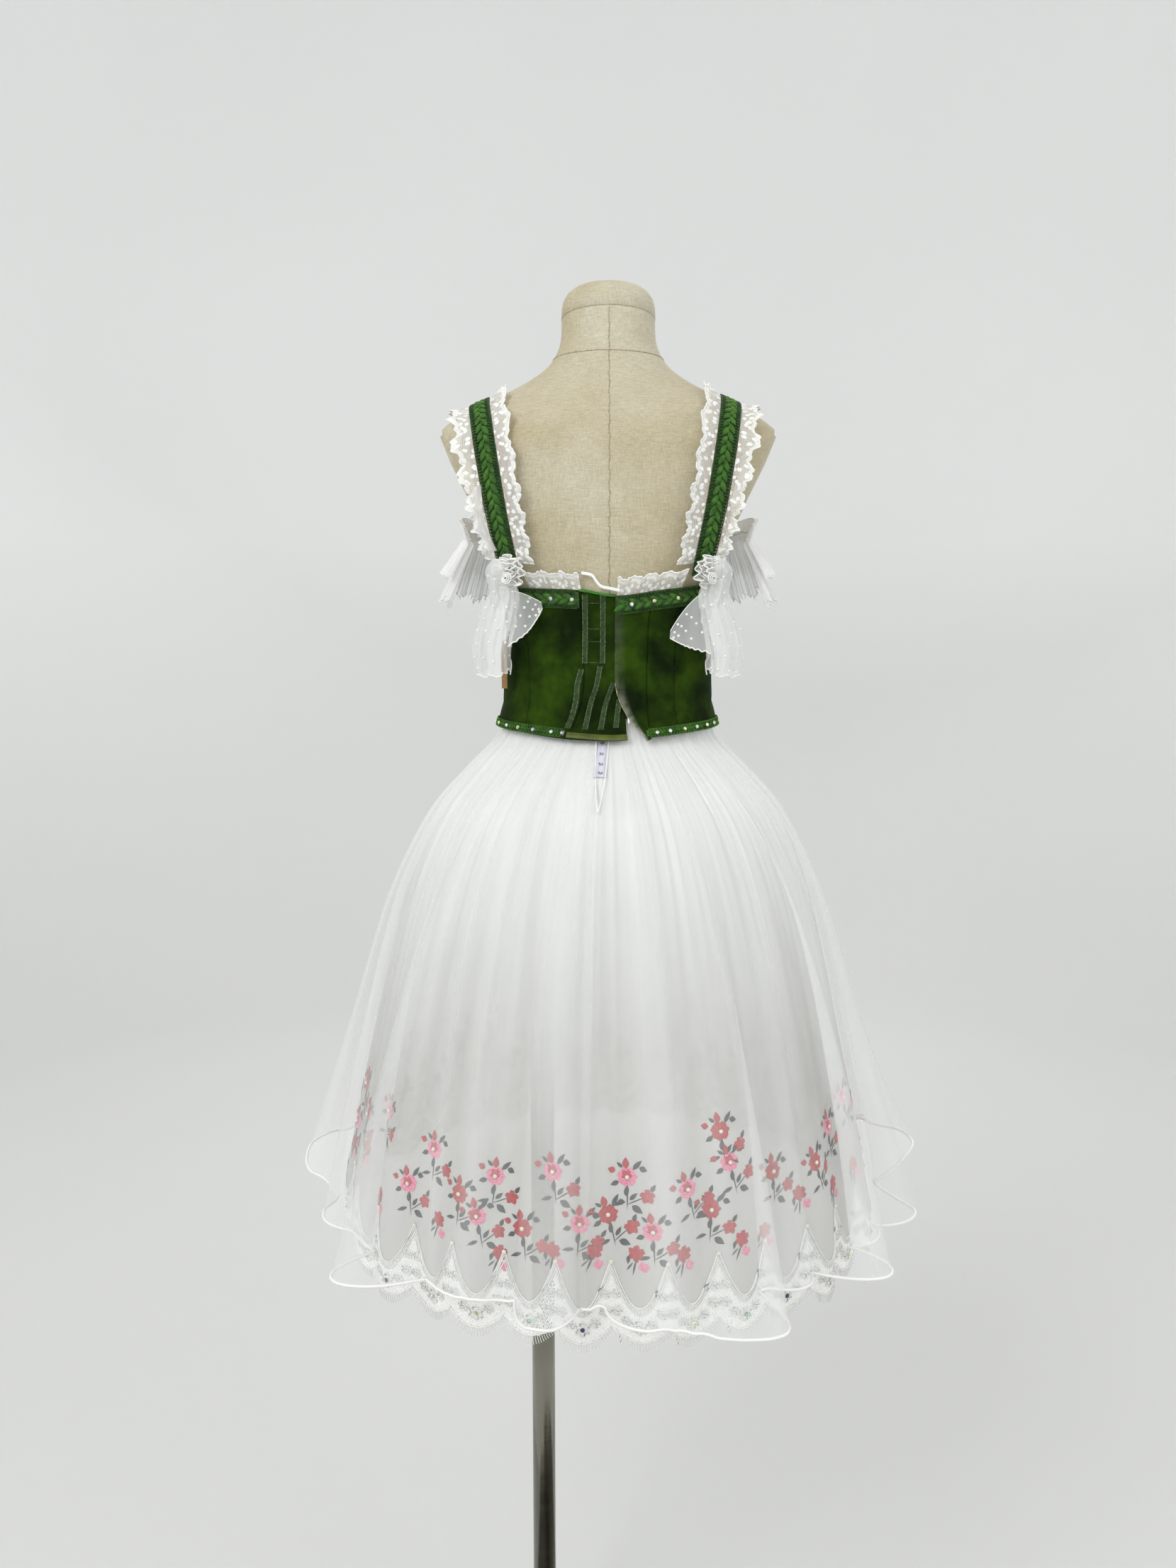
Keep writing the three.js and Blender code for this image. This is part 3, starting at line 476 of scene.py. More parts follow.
def woven(name, vector_scale, stops, pitch, depth, strength, **inputs):
    """Satin or tape with threads of that pitch. Without a scale its tone follows the weave."""
    f = Finish(name)
    tone = f.noise(f.place(), vector_scale) if vector_scale else f.weave(pitch)
    f.set(Base_Color=f.ramp(tone, *stops), **inputs)
    f.bump(f.weave(pitch), depth, strength)
    return f.made


def satin():
    f = Finish("satin_white")
    f.set(Base_Color=srgb(246, 246, 243), Roughness=0.4, Sheen_Weight=0.3)
    f.bump(f.noise(f.place(), 900, 2), 0.0002, 0.4)
    return f.made


def raschel():
    """Knitted lace: a fine net with flowers, and a denser hem."""
    f = Finish("raschel_lace")
    cords = f.ramp(f.cells(f.uv(), 620.0, feature="DISTANCE_TO_EDGE"), (0.07, 1.0), (0.14, 0.0))
    petals = f.ramp(f.cells(f.uv(), 120.0), (0.27, 1.0), (0.33, 0.0))
    across = f.add("ShaderNodeSeparateXYZ", {"Vector": f.uv()}, out=1)
    hem = f.ramp(f.math("MULTIPLY", across, 55.0), (0.72, 0.0), (0.8, 1.0))
    thread = f.math("MAXIMUM", f.math("MAXIMUM", petals, cords), f.math("MULTIPLY", hem, 0.75))
    f.set(Base_Color=srgb(244, 244, 241), Roughness=0.7, Sheen_Weight=0.2, Alpha=f.span(thread, 0.0, 1.0, 0.16, 0.95))
    f.bump(petals, 0.0004, 0.5)
    return f.made


def guipure():
    """Corded lace: an uneven net of bars with denser patches."""
    f = Finish("guipure")
    warp = f.add("ShaderNodeVectorMath", {0: f.noise(f.uv(), 90, 2), 1: (0.006, 0.006, 0)}, operation="MULTIPLY")
    spot = f.add("ShaderNodeVectorMath", {0: f.uv(), 1: warp}, operation="ADD")
    cords = f.ramp(f.cells(spot, 330.0, feature="DISTANCE_TO_EDGE"), (0.17, 1.0), (0.23, 0.0))
    patch = f.ramp(f.noise(f.uv(), 75, 2), (0.53, 0.0), (0.57, 1.0))
    thread = f.math("MAXIMUM", cords, f.math("MULTIPLY", patch, 0.9))
    f.set(Base_Color=srgb(252, 252, 250), Roughness=0.75, Alpha=f.span(thread, 0.0, 1.0, 0.1, 1.0))
    f.bump(cords, 0.0004, 0.6)
    return f.made


def make_finishes():
    made = {
        "velvet": velvet("velvet"),
        "velvet_worn": velvet("velvet_worn", worn=True),
        "linen": linen(),
        "steel": steel(),
        "satin": satin(),
        "raschel": raschel(),
        "guipure": guipure(),
        "braid": mottled("braid", (26, 66, 10), (66, 118, 26), 160, bump=(1400, 2, 0.0005, 0.7, 1), Roughness=0.8,
                         Sheen_Weight=0.3, Sheen_Tint=srgb(150, 200, 90)),
        "gimp": mottled("gimp", (22, 50, 12), (50, 92, 26), 200, bump=(1800, 2, 0.0004, 0.6, 1), Roughness=0.7),
        "lace": mottled("lace_thread", (240, 240, 236), (254, 254, 251), 300, bump=(1500, 2, 0.0003, 0.6, 1),
                        Roughness=0.75, Sheen_Weight=0.2),
        "elastic": mottled("nude_elastic", (134, 100, 54), (176, 138, 88), 200, stretch=12,
                           bump=(500, 3, 0.0004, 0.6, 12), Roughness=0.7),
        "hook_tape": mottled("hook_tape", (22, 42, 10), (52, 76, 30), 240, bump=(900, 3, 0.0006, 0.8, 1),
                             Roughness=0.8),
        "stitch": mottled("stitch", (44, 66, 34), (100, 122, 84), 500, 2, (0.4, 0.6), Roughness=0.8),
        "seam": mottled("seam_thread", (146, 134, 106), (190, 178, 150), 260, stops=(0.35, 0.65), Roughness=0.9),
        "binding_bright": mottled("satin_bright", (34, 96, 18), (66, 140, 30), 90, Roughness=0.45),
        "binding": woven("satin_olive", 60, ((0.3, srgb(62, 74, 4)), (0.7, srgb(92, 102, 10))), 0.0005, 0.0001, 0.4,
                         Roughness=0.42, Sheen_Weight=0.2),
        "tape": woven("woven_tape", None, ((0.2, srgb(206, 206, 224)), (0.8, srgb(232, 232, 244))), 0.0008, 0.0002,
                      0.6, Roughness=0.75),
        "organza": sheer("organza", srgb(250, 252, 251), 0.24, 0.00045, 0.5, streak=0.5),
        # The flower net's foot colour is painted shade that greys its low part.
        "net": sheer("flower_net", srgb(246, 247, 245), 0.78, 0.0011, 0.6, streak=0.1, foot=srgb(190, 188, 185)),
        "tulle": sheer("petticoat_tulle", srgb(252, 253, 252), 0.94, 0.0008, 0.6, fade=(0.902, 1.07)),
        "sleeve": sheer("sleeve_net", srgb(244, 245, 244), 0.46, 0.0009, 0.5, streak=0.22),
        "frill_net": sheer("frill_net", srgb(252, 252, 252), 0.62, 0.0009, 0.5, streak=0.18),
        "stone_pearl": mottled("pearl", (226, 220, 192), (246, 244, 228), 300, 1, Roughness=0.22, Coat_Weight=0.5,
                               Sheen_Weight=0.2),
    }
    for name, colour in STONE_COLOURS.items():
        light = tuple(min(255, c + STONE_LIGHT) for c in colour)
        dark = tuple(int(c * STONE_DARK) for c in colour)
        made["stone_" + name] = mottled("stone_" + name, dark, light, 420, 1, (0.35, 0.65), Roughness=0.05,
                                        Metallic=0.35, Coat_Weight=0.8)
    for name, dark, light in THREADS:
        made["thread_" + name] = mottled("thread_" + name, dark, light, 320, 3, (0.35, 0.65), 2,
                                         (1200, 2, 0.0003, 0.7, 4), Roughness=0.55, Sheen_Weight=0.3)
    return made


# Heights in metres over which a net's painted shade at its foot gives way to its own colour.
NET_SHADE_SPAN = (0.86, 1.2)


def sheer(name, colour, cover, pitch, roughness, streak=0.0, fade=None, foot=None):
    """Net or organza. Cover is the share of light that it stops, and streak is how much more and less of it
    the fine gathers along the cloth stop. It thins out between two heights in metres. Where it hangs low its colour
    turns to the foot colour, which is painted shade."""
    f = Finish(name)
    cloudy = f.noise(f.place((1, 1, 0.35)), 14, 3)
    threads = f.weave(pitch)
    veil = f.ramp(cloudy, (0.3, cover * 0.88), (0.7, min(1, cover * 1.1)))
    if streak:
        gather = f.noise(f.uv((1, 0.025, 1)), 24, 1.5, 0.5)
        veil = f.math("MULTIPLY", veil, f.span(gather, 0.34, 0.66, 1 - streak, 1 + streak))
    if fade:
        veil = f.math("MULTIPLY", veil, f.span(f.height(), *fade, 0.0, 1.0))
    # Painted shade: the darker foot colour low down blends into the net's own colour higher up.
    if foot:
        colour = f.blend(f.span(f.height(), *NET_SHADE_SPAN, 0.0, 1.0), foot, colour)
    f.set(Base_Color=colour, Roughness=roughness, Sheen_Weight=0.2, Specular_IOR_Level=0.2,
          Alpha=f.math("MULTIPLY", veil, f.ramp(threads, (0.0, 0.92), (1.0, 1.0))))
    return f.made


FINISH = make_finishes()


def dress_in(made, finish, slot, *stands_for):
    """Gives a piece its finish, hangs it on the body and hides the CAD nodes that it stands for. The slot is not
    used.
    """
    made.data.materials.clear()
    made.data.materials.append(FINISH[finish])
    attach(made, BODY)
    if stands_for:
        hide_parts(*stands_for)
    return made


# Camera, floor and light


CAMERA = {"place": (-0.0232, -1.4, 1.4), "tilt": 82.5, "lens": 27.03, "sensor": 36}
STUDIO = {"radius": 4500, "flat": 1500, "rise": 5200, "bend": 1500, "shaded_to": 1.8}
SKY = {"colour": (1, 0.995, 0.985, 1), "strength": 0.68}
LAMPS = (
    ("key", (-1.9, -2.4, 3.4), 1.8, 62),
    ("fill", (2.6, -1.6, 2.4), 2.2, 22),
    ("rim", (0.4, 2.9, 3.2), 2.4, 40),
)
LIT_POINT = (0, 0, 1.2)


def make_stage():
    """The camera where the photograph was taken, and a pale round studio that looks alike from every side."""
    camera = bpy.data.objects.new("camera", bpy.data.cameras.new("camera"))
    bpy.context.scene.collection.objects.link(camera)
    camera.location = CAMERA["place"]
    camera.rotation_euler = (math.radians(CAMERA["tilt"]), 0, 0)
    camera.data.lens = CAMERA["lens"]
    camera.data.sensor_width = CAMERA["sensor"]
    bpy.context.scene.camera = camera

    radius, bend = STUDIO["radius"], STUDIO["bend"]
    arc = np.linspace(0, math.pi / 2, 14)
    profile = [(0, 0), (STUDIO["flat"], 0)]
    profile += [(radius - bend + bend * math.sin(a), bend - bend * math.cos(a)) for a in arc]
    profile += [(radius, STUDIO["rise"])]
    bowl = lathe("studio", profile, segments=128)
    f = Finish("studio_paint")
    paint = f.ramp(f.noise(f.place(), 0.4), (0.3, srgb(242, 243, 243)), (0.7, srgb(246, 247, 247)))
    rise = f.span(f.height(), 0.0, STUDIO["shaded_to"], 0.0, 1.0)
    shade = f.ramp(rise, (0.0, srgb(224, 224, 222)), (1.0, srgb(255, 255, 255)))
    f.set(Base_Color=f.blend(1.0, paint, shade, "MULTIPLY"), Roughness=0.9, Specular_IOR_Level=0.1)
    bowl.data.materials.append(f.made)
    bowl.data.flip_normals()

    world = bpy.data.worlds.new("soft_sky")
    world.use_nodes = True
    sky = world.node_tree.nodes["Background"].inputs
    sky["Color"].default_value = SKY["colour"]
    sky["Strength"].default_value = SKY["strength"]
    bpy.context.scene.world = world
    for name, place, size, power in LAMPS:
        lamp = bpy.data.objects.new(name, bpy.data.lights.new(name, "AREA"))
        bpy.context.scene.collection.objects.link(lamp)
        lamp.data.size = size
        lamp.data.energy = power
        lamp.location = place
        lamp.rotation_euler = look(place, LIT_POINT)
    scene = bpy.context.scene
    scene.view_settings.view_transform = "Standard"
    scene.cycles.transparent_max_bounces = 64
    scene.cycles.max_bounces = 8


def look(place, target):
    """Rotation of a lamp that shines from a place to a target."""
    return (Vector(target) - Vector(place)).to_track_quat("-Z", "Y").to_euler()


# The stand and the form

POLE_X = -80
POLE_R = 14.5
BASE_R = 175
BASE_H = 12
COLLAR_H = 34
FLANGE_H = 8
ARM_PLANE = {"low_x": 153, "low_z": 1532, "slope": 38 / 94}


def make_stand():
    bevel = ((3, 0), (0.8, 0.8), (0, 3))
    side = [(BASE_R - a, b) for a, b in bevel] + [(BASE_R - a, BASE_H - b) for a, b in bevel[::-1]]
    plate = [(0, 0), *side, (0, BASE_H)]
    dress_in(lathe("stand_base", plate, segments=128), "steel", "steel", "base_plate")
    foot = BASE_H + SEAM
    steps = ((0, 0), (26, 0), (26, 27), (24.5, 30), (21, 33.5), (19, COLLAR_H), (0, COLLAR_H))
    collar = [(r, foot + up) for r, up in steps]
    dress_in(lathe("stand_collar", collar, (POLE_X, 0), 64), "steel", "steel", "base_collar")
    low, high = BASE_H + COLLAR_H + 2 * SEAM, HIP_Z - FLANGE_H - 2 * SEAM
    rod = [(0, low), (POLE_R, low), (POLE_R, high), (0, high)]
    dress_in(lathe("stand_pole", rod, (POLE_X, 0), 64), "steel", "steel", "pole")
    low = high + SEAM
    steps = ((0, 0), (44, 0), (45, 1), (45, FLANGE_H - 1), (44, FLANGE_H), (0, FLANGE_H))
    flange = [(r, low + up) for r, up in steps]
    dress_in(lathe("stand_flange", flange, (POLE_X, 0), 64), "steel", "steel", "pole_flange")


def make_form():
    az = np.linspace(-180, 180, 128, endpoint=False)
    z = np.concatenate([np.linspace(HIP_Z, 1600, 74), np.linspace(1604, NECK_SEAM_Z, 42)])
    a, h = np.meshgrid(az, z)
    points = on_form(a, h)
    points[..., 2] -= points[..., 1] * NECK_TILT * smoothstep(h, 1704, NECK_SEAM_Z)
    plane = ARM_PLANE["low_x"] + (h - ARM_PLANE["low_z"]) * ARM_PLANE["slope"]
    cut = (np.abs(points[..., 0]) > plane) & (h > 1500)
    points[..., 0] = np.where(cut, np.sign(points[..., 0]) * plane, points[..., 0])
    middle = points.mean(axis=1, keepdims=True) * np.ones_like(points)
    points = np.concatenate([middle[:1], points, middle[-1:]], axis=0)
    torso = grid("form_body", points, closed=True)
    weld(torso)
    dress_in(torso, "linen", "linen", "form_torso")

    seams = Joined()
    z = np.linspace(1380, NECK_SEAM_Z - 2, 260)
    back = on_form(0.35 * np.sin(z * 0.31) + 0.25 * np.sin(z * 0.83), z, 0.3)
    back[:, 2] -= back[:, 1] * NECK_TILT * smoothstep(z, 1704, NECK_SEAM_Z)
    seams.cord(back, 0.42 + 0.15 * np.sin(z * 1.3), 5)
    around = np.linspace(-180, 180, 200)
    seams.cord(on_form(around, np.full(200, 1704.0), 0.2), 0.5, 5)
    dress_in(seams.make("form_seams"), "seam", "linen")

    steps = ((SEAM, 0), (1, -0.6), (12, -0.2), (19, 1.6), (25, 5), (30, 11), (33.5, 20), (35, 30), (35.4, 52.9))
    rings = []
    for up, shrink in steps:
        ring = on_form(az, np.full_like(az, NECK_SEAM_Z), -shrink)
        ring[:, 2] = NECK_SEAM_Z + up - ring[:, 1] * NECK_TILT
        rings.append(ring)
    rings.append(np.repeat(rings[-1].mean(axis=0, keepdims=True), len(az), axis=0))
    rings.insert(0, np.repeat(rings[0].mean(axis=0, keepdims=True), len(az), axis=0))
    cap = grid("form_cap", np.array(rings), closed=True)
    weld(cap)
    dress_in(cap, "linen", "linen", "form_neck_cap")


# Scattering and bands


def ico(levels):
    """Points and triangles of a ball of radius 1."""
    g = (1 + 5**0.5) / 2
    points = [(-1, g, 0), (1, g, 0), (-1, -g, 0), (1, -g, 0), (0, -1, g), (0, 1, g),
              (0, -1, -g), (0, 1, -g), (g, 0, -1), (g, 0, 1), (-g, 0, -1), (-g, 0, 1)]
    faces = [(0, 11, 5), (0, 5, 1), (0, 1, 7), (0, 7, 10), (0, 10, 11), (1, 5, 9), (5, 11, 4), (11, 10, 2),
             (10, 7, 6), (7, 1, 8), (3, 9, 4), (3, 4, 2), (3, 2, 6), (3, 6, 8), (3, 8, 9), (4, 9, 5),
             (2, 4, 11), (6, 2, 10), (8, 6, 7), (9, 8, 1)]
    points = [np.array(p, float) for p in points]
    for _ in range(levels):
        middles, finer = {}, []
        for a, b, c in faces:
            halves = []
            for pair in ((a, b), (b, c), (c, a)):
                key = tuple(sorted(pair))
                if key not in middles:
                    middles[key] = len(points)
                    points.append((points[key[0]] + points[key[1]]) / 2)
                halves.append(middles[key])
            ab, bc, ca = halves
            finer += [(a, ab, ca), (b, bc, ab), (c, ca, bc), (ab, bc, ca)]
        faces = finer
    return unit(np.array(points)), np.array(faces)


def scatter(name, template, places, axes, smooth=True):
    """One mesh of many copies of a template. `axes` holds the three scaled axes of each copy."""
    points, faces = template
    copies = places[:, None] + np.einsum("pk,nkc->npc", points, axes)
    count = len(points)
    all_faces = faces[None] + (np.arange(len(places)) * count)[:, None, None]
    return new_mesh(name, copies.reshape(-1, 3), all_faces.reshape(-1, faces.shape[1]), smooth=smooth)


class Joined:
    """Grids and tubes that become one mesh."""

    def __init__(self):
        self.points, self.faces, self.uvs, self.count = [], [], [], 0

    def add(self, points, closed=False):
        faces, uvs = lattice(points, closed)
        self.points.append(points.reshape(-1, 3))
        self.faces.append(faces + self.count)
        self.uvs.append(uvs)
        self.count += points.shape[0] * points.shape[1]
        return self

    def cord(self, path, radius, sides=6, closed=False):
        return self.add(tube(path, radius, sides, closed), closed=True)

    def make(self, name):
        return new_mesh(name, np.concatenate(self.points), np.concatenate(self.faces), np.concatenate(self.uvs))


class Band:
    """A strip on the body. `face(at, aside, off)` gives its points, and places along it are read by length."""

    def __init__(self, face, start, end):
        self.face = face
        self.at = np.linspace(start, end, 300)
        line = face(self.at, 0 * self.at, 0 * self.at)
        self.run = np.concatenate([[0], np.cumsum(np.linalg.norm(np.diff(line, axis=0), axis=1))])
        self.length = self.run[-1]

    def point(self, along, aside=0.0, off=0.0):
        along, aside, off = np.broadcast_arrays(np.asarray(along, float), aside, off)
        return self.face(np.interp(along, self.run, self.at), aside, off)

    def axes(self, along, aside):
        """Unit axes along, across and out of the band at those places."""
        ahead = unit(self.point(along + 1, aside) - self.point(along - 1, aside))
        across = unit(self.point(along, aside + 1) - self.point(along, aside - 1))
        out = unit(np.cross(ahead, across))
        out *= np.sign(np.sum(out * (self.point(along, aside, 1.0) - self.point(along, aside)), -1))[:, None]
        return np.stack([ahead, np.cross(out, ahead), out], axis=1)

    def place_of(self, at):
        return np.interp(at, self.at, self.run)


GRAIN = {"length": 15.0, "wide": 6.4, "thick": 3.4, "pitch": 11.0, "aside": 3.0, "turn": 27}
GIMP_CORD = {"loop": 2.5, "pitch": 3.7, "cord": 0.66, "sides": 4, "steps": 10}


def grains(name, bands, size=1.0):
    """The chenille wheat ear in the middle of a braid: two rows of grains that lean towards each other."""
    random = np.random.default_rng(7)
    almond, faces = ico(1)
    almond[:, 1:] *= 0.35 + 0.65 * (1 - almond[:, :1] ** 2)
    places, axes = [], []
    for band in bands:
        for row in (-1, 1):
            along = np.arange(GRAIN["pitch"] * (0.35 if row < 0 else 0.85), band.length - 4, GRAIN["pitch"])
            aside = np.full_like(along, row * GRAIN["aside"] * size)
            frame_axes = band.axes(along, aside)
            turn = np.radians(-row * GRAIN["turn"] + random.uniform(-5, 5, len(along)))[:, None]
            ahead, across, out = frame_axes[:, 0], frame_axes[:, 1], frame_axes[:, 2]
            side = np.sign(np.sum(across * (band.point(along, aside + 1) - band.point(along, aside)), -1))[:, None]
            across = across * side
            long_way = ahead * np.cos(turn) + across * np.sin(turn)
            wide_way = across * np.cos(turn) - ahead * np.sin(turn)
            half = 0.5 * size * random.uniform(0.93, 1.07, (len(along), 1))
            places.append(band.point(along, aside, GRAIN["thick"] * 0.3))
            axes.append(np.stack([long_way * half * GRAIN["length"], wide_way * half * GRAIN["wide"],
                                  out * half * GRAIN["thick"]], axis=1))
    return scatter(name, (almond, faces), np.concatenate(places), np.concatenate(axes))


def gimp_path(band, aside, loop=GIMP_CORD["loop"], mirror=1):
    """A cord in loops along a band."""
    room = band.length - 2 * loop
    turns = int(room / GIMP_CORD["pitch"])
    phase = np.linspace(0, math.tau * turns, turns * GIMP_CORD["steps"])
    along = loop + room * phase / phase[-1] + loop * 0.8 * np.sin(phase)
    across = aside + mirror * loop * np.cos(phase)
    return band.point(along, across, GIMP_CORD["cord"] * (1.6 + 0.6 * np.sin(phase)))


def gem():
    """A round cut stone: a flat table, eight facets and a girdle."""
    turn = np.radians(np.arange(8) * 45 + 22.5)
    rings = [(0.0, 1.0), (0.55, 1.0), (1.0, 0.45), (0.95, 0.0), (0.0, 0.0)]
    points = np.array([[r * math.cos(a), r * math.sin(a), h] for r, h in rings for a in turn])
    faces = [[j * 8 + i, j * 8 + (i + 1) % 8, (j + 1) * 8 + (i + 1) % 8, (j + 1) * 8 + i]
             for j in range(4) for i in range(8)]
    return points, np.array(faces)


STONES = {}


def add_stone(colour, place, out, radius=2.4):
    """Keeps a stone for the mesh of its colour."""
    out = unit(np.asarray(out, float))
    side = unit(np.cross(out, [0.2, 0.1, 1.0]))
    axes = np.stack([side * radius, np.cross(out, side) * radius, out * radius * 0.75])
    STONES.setdefault(colour, []).append((place, axes))


def make_stones():
    for colour, found in STONES.items():
        template = ico(1) if colour == "pearl" else gem()
        places = np.array([place for place, _ in found])
        axes = np.array([axis for _, axis in found])
        made = scatter("stones_" + colour, template, places, axes, smooth=colour == "pearl")
        dress_in(made, "stone_" + colour, "pearl" if colour == "pearl" else "stone")


# The bodice

LAP = {"until": 18, "gone": 27}
OPEN_EDGE = {"z": 1348, "swing": 19, "bend": 1.9, "depth": 67}
PANEL_GAP = 0.12
PANELS = (
    ("bodice_back_left", -54, -18, 0, 9, False),
    ("bodice_placket", -18, 12, 9, 0, False),
    ("bodice_side_left", -99, -54, 0, 0, False),
    ("bodice_side_front_left", -153, -99, 0, 0, False),
    ("bodice_back_right", 4, 27, -19, 0, True),
    ("bodice_side_back_right", 27, 45, 0, 0, False),
    ("bodice_side_right", 45, 99, 0, 0, False),
    ("bodice_side_front_right", 99, 153, 0, 0, False),
    ("bodice_front", 153, 207, 0, 0, False),
)
CREASES = table(
    "az z slope long wide depth",
    (9, 1336, 0.9, 34, 6, -1.5),
    (13, 1352, 1.1, 30, 5, -1.1),
    (18, 1318, 1.4, 30, 5, 0.9),
    (-30, 1322, 0.5, 26, 7, -1.0),
    (-44, 1310, -0.4, 24, 6, -1.0),
    (-46, 1362, 0.2, 30, 8, -0.8),
    (-24, 1392, 0.8, 24, 7, -0.7),
    (36, 1310, 0.7, 24, 6, -1.0),
    (40, 1352, 0.6, 32, 8, -0.9),
    (60, 1330, -0.3, 26, 6, -0.9),
    (-70, 1336, 0.3, 26, 6, -0.9),
    (-84, 1312, -0.5, 22, 5, -0.8),
    (84, 1316, 0.4, 22, 5, -0.9),
    (120, 1322, -0.3, 30, 7, -1.0),
    (-122, 1318, 0.4, 30, 7, -1.0),
    (150, 1400, 1.1, 30, 8, -0.8),
    (-148, 1396, -1.0, 32, 8, -0.8),
    (180, 1330, 0.1, 36, 7, -0.9),
    (168, 1306, -0.4, 26, 6, -0.8),
    (-166, 1352, 0.3, 28, 6, -0.7),
    (-2, 1318, 1.2, 22, 4, -0.8),
)
MM_PER_DEGREE = 2.05
CREASE_DEPTH = 1.25


def creased(az, z):
    """How far the velvet stands out or in at its soft creases."""
    total = np.zeros_like(az)
    for k in range(len(CREASES["az"])):
        x = wrap(az - CREASES["az"][k]) * MM_PER_DEGREE
        y = z - CREASES["z"][k]
        turn = math.atan(CREASES["slope"][k])
        along = x * math.cos(turn) + y * math.sin(turn)
        across = y * math.cos(turn) - x * math.sin(turn) + 0.004 * along**2
        fade = ((along / CREASES["long"][k]) ** 2) * 2 + (across / CREASES["wide"][k]) ** 2
        total += CREASE_DEPTH * CREASES["depth"][k] * np.exp(-fade)
    return total


def lap(az):
    return (VELVET + OVERLAY) * (1 - np.clip((az - LAP["until"]) / (LAP["gone"] - LAP["until"]), 0, 1))


def swing(z):
    return np.clip((OPEN_EDGE["z"] - z) / OPEN_EDGE["depth"], 0, 1) ** OPEN_EDGE["bend"]


def placket_face(az, z, off=0.0):
    """A point on the placket's face, whose lower part leans with the open edge."""
    return on_bodice(az, z, VELVET + creased(az, z) + off)


def make_lap_edge():
    """The worn pale edge of the right back where it laps over the placket."""
    z = np.linspace(1284, 1340, 60)
    az = 4.1 + OPEN_EDGE["swing"] * swing(z)
    edge_cord = Joined().cord(on_bodice(az, z, 1.6 * VELVET + OVERLAY), 0.42 + 0.12 * np.sin(z * 0.7), 6)
    dress_in(edge_cord.make("lap_edge"), "seam", "thread")


def make_bodice():
    for name, start, end, lean_from, lean_to, laps in PANELS:
        az = np.linspace(start + PANEL_GAP, end - PANEL_GAP, max(16, int((end - start) / 1.25)))
        share = np.linspace(0, 1, 58)
        a, v = np.meshgrid(az, share)
        z = mix(edge("bottom", a), edge("top", a), v)
        lean = swing(z) * mix(lean_from, lean_to, (a - start) / (end - start))
        over = lap(a - lean) if laps else 0
        rim = np.minimum(np.minimum(a - az[0], az[-1] - a) * MM_PER_DEGREE / 1.4, 1)
        turned = 0.9 * (1 - np.sqrt(np.clip(1 - (1 - rim) ** 2, 0, 1)))
        outer = on_bodice(a - lean, z, VELVET + over - turned + creased(a - lean, z))
        inner = on_bodice(a - lean, z, over)
        made = shell(name + "_cloth", outer, inner)
        dress_in(made, "velvet_worn" if laps else "velvet", "velvet", name)


TAPE_RUNS = (
    ((-15.8, 1437), (-16.5, 1400), (-17.2, 1362)),
    ((-19.4, 1356), (-22.3, 1338), (-23.5, 1317), (-27.2, 1290)),
    ((-4.2, 1437), (-4.3, 1400), (-4.6, 1362)),
    ((-6.4, 1359), (-8.8, 1338), (-12.9, 1318), (-16.1, 1289)),
    ((3.4, 1341), (0.5, 1329), (-2.6, 1315), (-5.5, 1289)),
    ((7.6, 1322), (6.3, 1309), (4.8, 1291)),
)
TAPE_WIDTH = 8.4
TAPE_RISE = 0.7
CROSS_STITCHES = (1428, 1400, 1386, 1363)


def smooth_line(points, count):
    """A smooth line through a few points, evenly read."""
    points = np.asarray(points, float)
    run = np.concatenate([[0], np.cumsum(np.linalg.norm(np.diff(points, axis=0), axis=1))])
    names = [str(k) for k in range(points.shape[1])]
    rows = {"at": run, **dict(zip(names, points.T))}
    at = np.linspace(0, run[-1], count)
    return np.stack([read(rows, "at", name, at) for name in names], -1)


